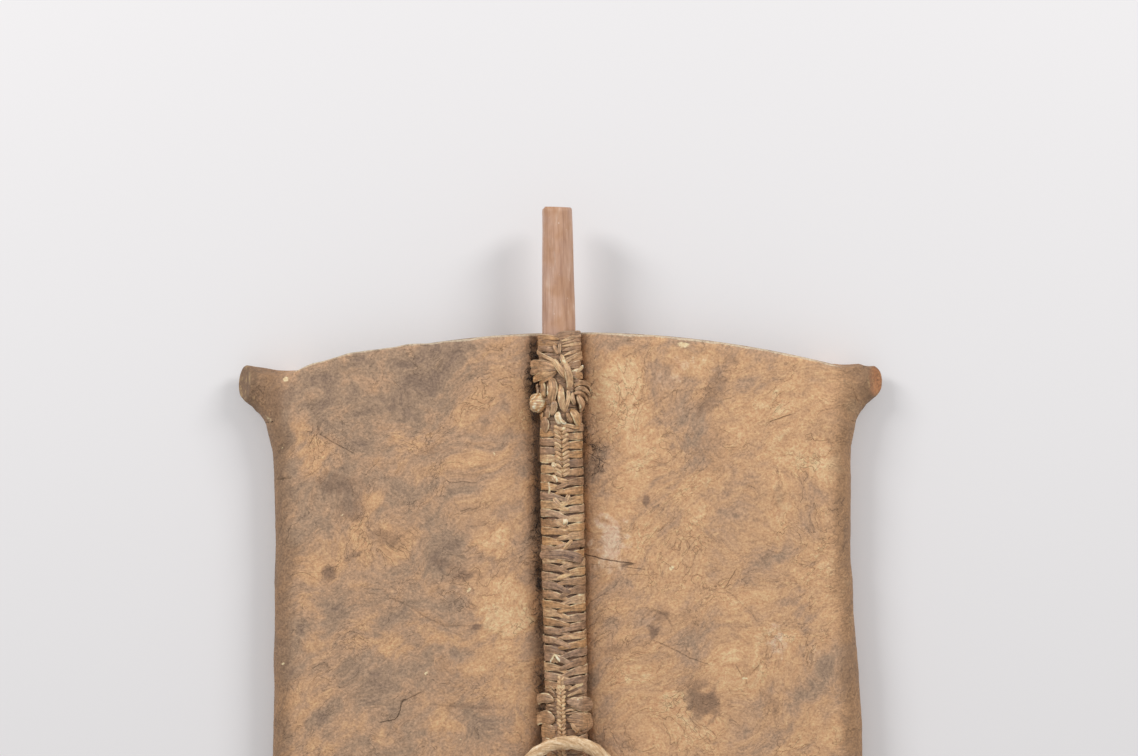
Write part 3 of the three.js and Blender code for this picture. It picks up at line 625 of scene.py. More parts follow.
# The cut of the right nubs was rubbed down to clear red-brown rind.
place_x = add_node(tree, "SeparateXYZ", {"Vector": place}, out="X")
right_tip = add_node(tree, "MapRange", {"Value": place_x, "From Min": 200 * MM, "From Max": 206 * MM,
                                        "To Max": 0.8})
tip_share = add_node(tree, "Math", {0: right_tip, 1: hide_marks["nub_face"]}, operation="MULTIPLY")
colour = add_node(tree, "MixRGB", {"Fac": tip_share, "Color1": colour, "Color2": linear("#b0764e")})
for name, weight, dark, pale in (("fibre", 0.26, "#7e7e7e", "#efefef"),
                                 ("grain", 0.36, "#6e6e6e", "#fbfbfb"),
                                 ("mottle", 0.2, "#9a9a9a", "#dcdcdc")):
    shade = add_node(tree, "ValToRGB", {"Fac": hide_noise[name]},
                     stops=((0.28, linear(dark)), (0.72, linear(pale))))
    colour = add_node(tree, "MixRGB", {"Fac": weight, "Color1": colour, "Color2": shade},
                      blend_type="OVERLAY")
# The crease lines are darkened: painted shade in the creases.
crease_dark = add_node(tree, "Math", {0: crease, 1: 0.34}, operation="MULTIPLY")
colour = add_node(tree, "MixRGB", {"Fac": crease_dark, "Color1": colour, "Color2": linear("#4f3c2e")})
height = hide_noise["wisp"]
for source, weight in ((hide_noise["fibre"], 0.35), (hide_noise["mottle"], 0.5),
                       (hide_noise["grain"], 0.35), (crease, -0.3), (scar_share, -0.5)):
    height = add_node(tree, "Math", {0: source, 1: weight, 2: height}, operation="MULTIPLY_ADD")
roughness = add_node(tree, "MapRange", {"Value": hide_noise["grain"], "To Min": 0.48, "To Max": 0.8})
finish_material(hide_material, tree, colour, roughness, height, 1.0, IOR=1.45, Specular_IOR_Level=0.35)
hide_piece.data.materials.append(hide_material)
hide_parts("hide")


# ---- The stick --------------------------------------------------------------------------------------
# A straight stick of hard reddish wood the length of the shield and more, the grip and the backbone of it.
# It was whittled to a long-facetted round, tapers at its ends and is polished by hands.
STICK_Z, STICK_RADIUS = 42.2, 11.2
STICK_TIP_RADIUS, STICK_TAPER_START_Y = 10.0, 318.0
stick_half_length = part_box("stick")[1].y / MM
STICK_SIDES, STICK_STATIONS = 56, 240
FACETS, FACET_LIMIT, END_SPREAD = 9, 0.992, 1.15

draw = np.random.RandomState(41)
facet_angle = np.linspace(0, 2 * math.pi, FACETS, endpoint=False) + draw.uniform(-0.22, 0.22, FACETS)
facet_phase = draw.uniform(0, 2 * math.pi, FACETS)
around = np.linspace(0, 2 * math.pi, STICK_SIDES, endpoint=False)
stick_y = np.sin(np.linspace(-1, 1, STICK_STATIONS + 1) * END_SPREAD)
stick_y = stick_half_length * stick_y / math.sin(END_SPREAD)
rings = []
for y in stick_y:
    taper = float(smoothstep(np.array(abs(y)), STICK_TAPER_START_Y, stick_half_length))
    radius = STICK_RADIUS + (STICK_TIP_RADIUS - STICK_RADIUS) * taper
    reach = np.full(STICK_SIDES, radius * FACET_LIMIT)
    for angle, phase in zip(facet_angle, facet_phase):
        flat = radius * (0.955 + 0.018 * math.sin(y / 21 + phase) + 0.008 * math.sin(y / 7.3 + 3 * phase))
        lean = angle + 0.10 * math.sin(y / 60 + phase)
        toward = np.cos(around - lean)
        reach = np.minimum(reach, np.where(toward > 0.3, flat / np.maximum(toward, 0.3), radius))
    to_end = stick_half_length - abs(y)
    worn = np.clip(1 - to_end / 2.2, 0, 1) ** 1.6
    reach = reach - 1.5 * worn * (1 + 0.35 * np.sin(3 * around + np.sign(y)))
    at_tip = to_end < 0.01
    ring_y = y - np.sign(y) * (0.5 + 0.5 * np.sin(around + 0.6)) * at_tip
    rings.append(np.stack([reach * np.sin(around), ring_y, STICK_Z + reach * np.cos(around)], axis=-1))
rings = np.array(rings)
end_caps = []
for end in (0, -1):
    middle_point = rings[end].mean(axis=0)
    bulge = np.array([0, 0.25 * (1 if end else -1), 0])
    end_caps.append([middle_point + (rings[end] - middle_point) * shrink + bulge * (1 - shrink)
                     for shrink in (0.15, 0.55, 0.9)])
rings = np.concatenate([end_caps[0], rings, end_caps[1][::-1]])


def tube_faces(ring_count, sides, start=0):
    """Quads between rings that follow each other, with a face over each end."""
    index = np.arange(ring_count * sides).reshape(ring_count, sides) + start
    step = np.roll(index, -1, axis=1)
    quads = np.stack([index[:-1], step[:-1], step[1:], index[1:]], axis=-1).reshape(-1, 4)
    return quads.tolist() + [index[0, ::-1].tolist(), index[-1].tolist()]


stick_piece = new_piece("grip_stick", rings.reshape(-1, 3),
                        [face[::-1] for face in tube_faces(len(rings), STICK_SIDES)])

# Whittled hardwood, oiled by hands: fine straight grain 0.4 to 1 mm wide, a low sheen on the cut flats,
# rubbed paler along some of them.
wood, tree = new_material("whittled_hardwood")
place = add_node(tree, "TexCoord", {}, out="Object")
grain_place = add_node(tree, "Mapping", {"Vector": place, "Scale": (1.0, 0.045, 1.0)})
long_place = add_node(tree, "Mapping", {"Vector": place, "Scale": (1.0, 0.22, 1.0)})
grain = add_node(tree, "TexNoise", {"Vector": grain_place, "Scale": 1 / (1.1 * MM), "Detail": 4.0,
                                    "Roughness": 0.6})
streak = add_node(tree, "TexNoise", {"Vector": long_place, "Scale": 1 / (4.8 * MM), "Detail": 3.0,
                                     "Roughness": 0.55, "Distortion": 0.4})
cloud = add_node(tree, "TexNoise", {"Vector": place, "Scale": 1 / (17 * MM), "Detail": 3.0})
pock = add_node(tree, "TexNoise", {"Vector": place, "Scale": 1 / (2.1 * MM), "Detail": 1.0})
colour = add_node(tree, "ValToRGB", {"Fac": streak},
                  stops=((0.26, linear("#a97f66")), (0.44, linear("#bd9378")), (0.58, linear("#c79e84")),
                         (0.76, linear("#dabca6"))))
for source, low, high, strength, pigment in (
        (cloud, 0.48, 0.66, 0.5, "#b07f55"), (cloud, 0.5, 0.34, 0.35, "#b9998b"),
        (grain, 0.52, 0.3, 0.4, "#8a6149"), (grain, 0.6, 0.76, 0.3, "#e0c6b2"),
        (pock, 0.76, 0.82, 0.85, "#f3e2d2")):
    share = add_node(tree, "MapRange", {"Value": source, "From Min": low, "From Max": high,
                                        "To Max": strength})
    colour = add_node(tree, "MixRGB", {"Fac": share, "Color1": colour, "Color2": linear(pigment)})
rough = add_node(tree, "MapRange", {"Value": streak, "To Min": 0.62, "To Max": 0.34})
finish_material(wood, tree, colour, rough, grain, 0.25, IOR=1.5, Specular_IOR_Level=0.4)
stick_piece.data.materials.append(wood)
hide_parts("stick")


# ---- The lacing -------------------------------------------------------------------------------------
# Flat strips of raw hide, put on wet, bind the stick down. Each comes up through a hole beside the stick,
# goes over it and is tucked under the one before along the middle. They dried hard, with sharp edges.
WRAP_RADIUS = 12.7
WRAP_FOOT_Z = 30.0
TURN_PITCH, LACING_TURNS, LACING_OUTER_Y = 5.81, 29, 263.4
STRAP_SIDES = 20


def on_stick(x, y, lift=0.0):
    """A point on the bound stick, raised by lift. Past the stick's side a point with no lift lies on the
    wrap's upright side, and one with some lift hangs out over the groove."""
    radius = WRAP_RADIUS + lift
    past = abs(x) - radius * 0.98
    if past < 0:
        return (x, y, STICK_Z + math.sqrt(radius**2 - x**2))
    if lift > 0.05:
        return (x, y, STICK_Z + radius * 0.2 - past * 1.3)
    return (math.copysign(radius * 0.985, x), y, max(STICK_Z + radius * 0.2 - past * 3.2, WRAP_FOOT_Z))


def round_stick(side, y, lift, last):
    """Points up one side of the stick, from the hide to an angle last in degrees from the top."""
    radius = WRAP_RADIUS + lift
    points = [(side * radius * 0.99, y, WRAP_FOOT_Z), (side * radius * 1.02, y, 36.0)]
    for angle in np.arange(90, last - 1, -16):
        turn = math.radians(angle)
        points.append((side * radius * math.sin(turn), y, STICK_Z + radius * math.cos(turn)))
    return points


def lay_strap(bundle, points, width, thick, tone, ochre, seed, square, pleats=0.0, blunt=0.12,
              stations=None, hub=(0.0, STICK_Z)):
    """Lofts one strip of raw hide through the points, flat side out from the stick, into a bundle.
    tone is how pale it is, ochre how yellow. square near 0 gives sharp edges and near 1 a round strand;
    blunt is the share of its length that each end takes to narrow."""
    draw = np.random.RandomState(seed + 1000)
    knots = np.array(points, float)
    knots = np.concatenate([[2 * knots[0] - knots[1]], knots, [2 * knots[-1] - knots[-2]]])
    width = np.atleast_1d(width)
    widths = np.interp(np.linspace(0, 1, len(points)), np.linspace(0, 1, len(width)), width)
    spans = np.linalg.norm(np.diff(knots[1:-1], axis=0), axis=1)
    reach = np.concatenate([[0], np.cumsum(spans)])
    count = stations or int(np.clip(reach[-1] / 0.95, 9, 40))
    path, path_width = [], []
    for distance in np.linspace(0, reach[-1], count + 1):
        k = min(int(np.searchsorted(reach, distance, side="right")) - 1, len(spans) - 1)
        t = (distance - reach[k]) / spans[k]
        p0, p1, p2, p3 = knots[k:k + 4]
        path.append(0.5 * (2 * p1 + (p2 - p0) * t + (2 * p0 - 5 * p1 + 4 * p2 - p3) * t**2
                           + (3 * p1 - p0 - 3 * p2 + p3) * t**3))
        path_width.append(np.interp(distance, reach, widths))
    path, path_width = np.array(path), np.array(path_width)
    tangent = np.gradient(path, axis=0)
    tangent /= np.linalg.norm(tangent, axis=1, keepdims=True)
    outward = (path - np.array([hub[0], 0, hub[1]])) * np.array([1, 0, 1])
    outward -= tangent * (outward * tangent).sum(axis=1, keepdims=True)
    outward /= np.maximum(np.linalg.norm(outward, axis=1, keepdims=True), 1e-6)
    sideways = np.cross(tangent, outward)
    angle = np.linspace(0, 2 * math.pi, STRAP_SIDES, endpoint=False)
    flat = np.sign(np.cos(angle)) * np.abs(np.cos(angle)) ** square
    tall = np.sign(np.sin(angle)) * np.abs(np.sin(angle)) ** square
    phase = draw.uniform(0, 6.28, 6)
    start = len(bundle["points"])
    for k in range(count + 1):
        share = k / count
        end = min(share, 1 - share) / blunt
        close = math.sqrt(max(1 - (1 - min(end, 1)) ** 2, 0.02))
        wander = 1 + 0.07 * math.sin(5 * share + phase[0]) + 0.05 * math.sin(13 * share + phase[1])
        half_width = 0.5 * path_width[k] * wander * close
        half_thick = 0.5 * thick * (0.35 + 0.65 * close)
        cup = 0.10 * (1 - square) * half_width * (flat**2 - 0.4) * math.sin(2 * share + phase[2])
        groove = np.cos(2.4 * math.pi * flat + phase[3] + 2 * share)
        groove += 0.5 * np.cos(5.2 * math.pi * flat + phase[2] - 3 * share)
        sag = 0.12 * thick * math.sin(9 * share + phase[4])
        drop = half_thick * tall + cup + pleats * groove * (tall > 0) * close + sag
        ring = path[k] + half_width * flat[:, None] * sideways[k] + drop[:, None] * outward[k]
        bundle["points"].extend(ring)
        bundle["tone"].extend([tone + 0.10 * math.sin(7 * share + phase[5])] * STRAP_SIDES)
        bundle["ochre"].extend([ochre] * STRAP_SIDES)
        # The edge mark makes the cut edges pale, more on the outer side: partly the cut's own colour,
        # partly a painted highlight.
        bundle["edge"].extend(np.abs(flat) ** 5 * np.clip(tall + 0.6, 0, 1))
        # The under mark darkens each strip's underside and narrowed ends: painted shade where straps tuck
        # under and between them.
        bundle["under"].extend(np.clip(0.25 - tall, 0, 1) + 0.5 * (1 - close))
        strand = np.stack([np.full(STRAP_SIDES, share * reach[-1]), half_width * flat,
                           np.full(STRAP_SIDES, seed * 7.3)], axis=-1)
        bundle["strand"].extend(strand * MM)
    bundle["faces"] += tube_faces(count + 1, STRAP_SIDES, start)


def new_bundle():
    return {name: [] for name in ("points", "faces", "tone", "ochre", "edge", "under", "strand")}


def tie_off(bundle, name, nodes, material, flip=False):
    """Turns a bundle of straps into one piece in place of CAD nodes; flip lays it at the foot instead."""
    points = np.array(bundle["points"])
    faces = bundle["faces"]
    points[:, 2] = np.minimum(points[:, 2], cad_high.z / MM - 0.2)
    if flip:
        points = points * np.array([1, -1, 1])
        faces = [face[::-1] for face in faces]
    piece = new_piece(name, points, faces)
    set_marks(piece, **{mark: bundle[mark] for mark in ("tone", "ochre", "edge", "under")})
    layer = piece.data.attributes.new("strand", "FLOAT_VECTOR", "POINT")
    layer.data.foreach_set("vector", np.array(bundle["strand"], np.float32).ravel())
    piece.data.materials.append(material)
    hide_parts(*nodes)


# Rawhide strip, dried hard and handled: half clear and horny, amber where thick and pale at the cut
# edges, partly its own colour and partly painted highlight, with painted shade in the gaps, on the
# undersides and at the tucked ends. Its fibres run along the strip, drawn about 0.5 mm wide.
strip_hide, tree = new_material("rawhide_strip")
place = add_node(tree, "TexCoord", {}, out="Object")
strand = add_node(tree, "Attribute", {}, out="Vector", attribute_name="strand")
strip_marks = {}
for mark in ("tone", "ochre", "edge", "under"):
    strip_marks[mark] = add_node(tree, "Attribute", {}, out="Fac", attribute_name=mark)
fibre_place = add_node(tree, "Mapping", {"Vector": strand, "Scale": (0.11, 1.0, 1.0)})
fibre = add_node(tree, "TexNoise", {"Vector": fibre_place, "Scale": 1 / (0.9 * MM), "Detail": 4.0,
                                    "Roughness": 0.65})
fleck = add_node(tree, "TexNoise", {"Vector": place, "Scale": 1 / (2.3 * MM), "Detail": 3.0,
                                    "Roughness": 0.6})
cloud = add_node(tree, "TexNoise", {"Vector": place, "Scale": 1 / (9 * MM), "Detail": 3.0})
colour = add_node(tree, "MixRGB", {"Fac": strip_marks["ochre"], "Color1": linear("#9c7e67"),
                                   "Color2": linear("#b28556")})
for mark, noise, weight, low, high, strength, pigment in (("tone", cloud, 0.9, 0.35, 1.25, 1.0, "#cda87f"),
                                                          ("tone", fleck, 1.2, 1.15, 1.9, 0.9, "#ecd6b2"),
                                                          # pale cut edges: partly their own colour, partly
                                                          # painted highlight
                                                          ("edge", fibre, 1.4, 1.0, 1.7, 0.85, "#e6cba6"),
                                                          # painted shade on undersides, tucked ends and in
                                                          # the gaps
                                                          ("under", fleck, 0.6, 0.45, 1.2, 0.85,
                                                           "#3d2b20")):
    amount = add_node(tree, "Math", {0: noise, 1: weight, 2: strip_marks[mark]}, operation="MULTIPLY_ADD")
    share = add_node(tree, "MapRange", {"Value": amount, "From Min": low, "From Max": high,
                                        "To Max": strength}, interpolation_type="SMOOTHSTEP")
    colour = add_node(tree, "MixRGB", {"Fac": share, "Color1": colour, "Color2": linear(pigment)})
dark_tone = add_node(tree, "MapRange", {"Value": strip_marks["tone"], "From Min": 0.05, "From Max": -0.8,
                                        "To Max": 0.75})
colour = add_node(tree, "MixRGB", {"Fac": dark_tone, "Color1": colour, "Color2": linear("#6b5042")})
for noise, dark, pale, strength in ((fibre, "#666666", "#ffffff", 0.75),
                                    (fleck, "#7c7c7c", "#f4f4f4", 0.5)):
    shade = add_node(tree, "ValToRGB", {"Fac": noise}, stops=((0.3, linear(dark)), (0.7, linear(pale))))
    colour = add_node(tree, "MixRGB", {"Fac": strength, "Color1": colour, "Color2": shade},
                      blend_type="OVERLAY")
rough = add_node(tree, "MapRange", {"Value": fleck, "From Min": 0.3, "From Max": 0.7, "To Min": 0.26,
                                    "To Max": 0.6})
height = add_node(tree, "Math", {0: fleck, 1: 0.6, 2: fibre}, operation="MULTIPLY_ADD")
finish_material(strip_hide, tree, colour, rough, height, 0.45, IOR=1.5, Specular_IOR_Level=0.5)


def lay_turns(bundle, top_y, turns, seed, plain_above):
    """A run of turns over the stick, a strip from each side whose narrowed end crosses the middle. Above
    one place the ends lie flat, under a chain stitch."""
    draw = np.random.RandomState(seed)
    for k in range(turns):
        for side in (-1, 1):
            y = top_y - (k + 0.5) * TURN_PITCH + draw.uniform(-0.5, 0.5) + 0.25 * side * TURN_PITCH
            drop = draw.uniform(1.0, 4.2)
            over = 0.9 if (k + (side > 0)) % 2 else 0.1
            if y > plain_above:
                over, drop = 0.0, 0.4
            points = round_stick(side, y, lift=draw.uniform(-0.15, 0.35), last=30)
            points += [on_stick(side * 3.4, y - 0.25 * drop, 0.5 + 0.5 * over),
                       on_stick(side * 0.4, y - 0.65 * drop, 0.75 + over),
                       on_stick(-side * 2.6, y - drop, 0.6 + over),
                       on_stick(-side * 4.6, y - 1.3 * drop, -0.6)]
            wide = 5.3 + draw.uniform(-0.35, 0.4)
            mood = draw.choice([-0.35, -0.1, 0.0, 0.15, 0.35], p=[0.2, 0.25, 0.25, 0.2, 0.1])
            lay_strap(bundle, points, [wide] * 6 + [3.9, 3.2, 2.6, 2.0],
                      thick=1.9 + draw.uniform(-0.2, 0.3), tone=mood,
                      ochre=draw.choice([0.15, 0.3, 0.5, 0.8]), square=0.5, pleats=0.10,
                      seed=seed * 100 + 2 * k + (side > 0), stations=34)


def lay_chain(bundle, top_y, bottom_y, spine_x, seed, half_width, pitch=2.7):
    """A fine chain stitch down the middle: pairs of short strands that meet in a V."""
    draw = np.random.RandomState(seed)
    y = top_y
    while y > bottom_y:
        for side in (-1, 1):
            outer = half_width + draw.uniform(-0.3, 0.3)
            points = [on_stick(spine_x + side * outer * 1.1, y + 1.0, 0.9),
                      on_stick(spine_x + side * outer * 0.8, y + 0.6, 1.9),
                      on_stick(spine_x + side * outer * 0.4, y - 0.5, 2.3),
                      on_stick(spine_x + side * 0.1, y - 2.1, 1.5)]
            lay_strap(bundle, points, [1.7, 2.3, 2.1, 1.3], thick=1.6, tone=draw.uniform(0.1, 0.6),
                      ochre=draw.uniform(0.3, 0.7), square=0.9, seed=int(draw.randint(9999)), stations=9,
                      blunt=0.3)
        y -= pitch + draw.uniform(-0.2, 0.2)


# Places along the lacing that differ: a broad dark strap pulled across, pale scraps and folded ends.
# Each strap: its points (x, y, lift), width, thickness, tone and ochre.
LACING_EXTRAS = [
    ([(-15, 179.5, 0.2), (-9, 180.2, 1.3), (-2, 180.6, 1.9), (5, 179.4, 1.6), (10, 177.6, 1.2),
      (15, 176, 0)],
     6.4, 2.2, -0.25, 0.15),
    ([(-2, 180.6, 2.4), (3, 179.3, 2.5), (8, 177.4, 2.2), (12.5, 176.4, 0.8)], 2.4, 1.2, -1.1, 0.0),
    ([(-6, 202.5, 1.2), (-1.8, 200.4, 2.0), (2, 198.2, 1.6)], 2.8, 1.5, 0.25, 0.5),
    ([(1.4, 204.0, 1.4), (1.6, 201.7, 2.6), (1.2, 199.6, 1.4)], 3.2, 2.0, 0.95, 0.3),
    ([(-5.6, 216.6, 1.3), (-3, 213.8, 2.1), (0.4, 211.4, 1.5)], 3.2, 1.4, 0.35, 0.4),
    ([(4.4, 219.0, 1.4), (2.2, 215.4, 2.1), (-0.4, 212.8, 1.3)], 2.8, 1.4, 0.5, 0.5),
    ([(-6.2, 239.4, 1.0), (-4.6, 237.8, 2.0), (-3.4, 235.6, 1.2)], 2.8, 1.7, 0.85, 0.3),
    ([(-6.4, 231.0, 1.0), (-4.6, 229.6, 2.0), (-3.6, 226.8, 1.4)], 3.2, 1.8, 0.85, 0.2),
    ([(-8.6, 227.2, 0.8), (-8.0, 222.8, 1.2), (-8.4, 219.0, 0.6)], 1.4, 1.0, 0.8, 0.2),
    ([(-9.4, 110.9, 1.0), (-8.0, 113.8, 1.7), (-6.6, 116.0, 1.9), (-4.6, 113.6, 2.0), (-2.6, 111.4, 1.3)],
     1.5, 1.2, 0.9, 0.3),
    ([(-8.4, 111.4, 0.9), (-6.4, 113.0, 1.5), (-4.0, 111.6, 1.0)], 3.0, 1.4, 0.2, 0.6),
    ([(-5.4, 184.2, 1.2), (-1.8, 186.0, 1.9), (3.0, 187.4, 1.4)], 2.6, 1.3, 0.1, 0.3),
    ([(6.0, 189.6, 1.0), (3.0, 186.8, 1.8), (0.0, 183.6, 1.4)], 2.4, 1.3, 0.3, 0.7),
]
upper_lacing = new_bundle()
lay_turns(upper_lacing, LACING_OUTER_Y, LACING_TURNS, seed=5, plain_above=233.0)
lay_chain(upper_lacing, 262.0, 232.0, 0.2, seed=6, half_width=4.3)
lay_chain(upper_lacing, 101.0, 95.5, -3.0, seed=7, half_width=2.0)
for k, (points, width, thick, tone, ochre) in enumerate(LACING_EXTRAS):
    lay_strap(upper_lacing, [on_stick(*point) for point in points], width, thick, tone, ochre,
              seed=600 + k, pleats=0.12, square=0.6)
tie_off(upper_lacing, "upper_lacing_straps", ["upper_lacing"], strip_hide)
lower_lacing = new_bundle()
lay_turns(lower_lacing, LACING_OUTER_Y, LACING_TURNS, seed=15, plain_above=240.0)
lay_chain(lower_lacing, 262.0, 239.0, -0.2, seed=16, half_width=4.3)
tie_off(lower_lacing, "lower_lacing_straps", ["lower_lacing"], strip_hide, flip=True)
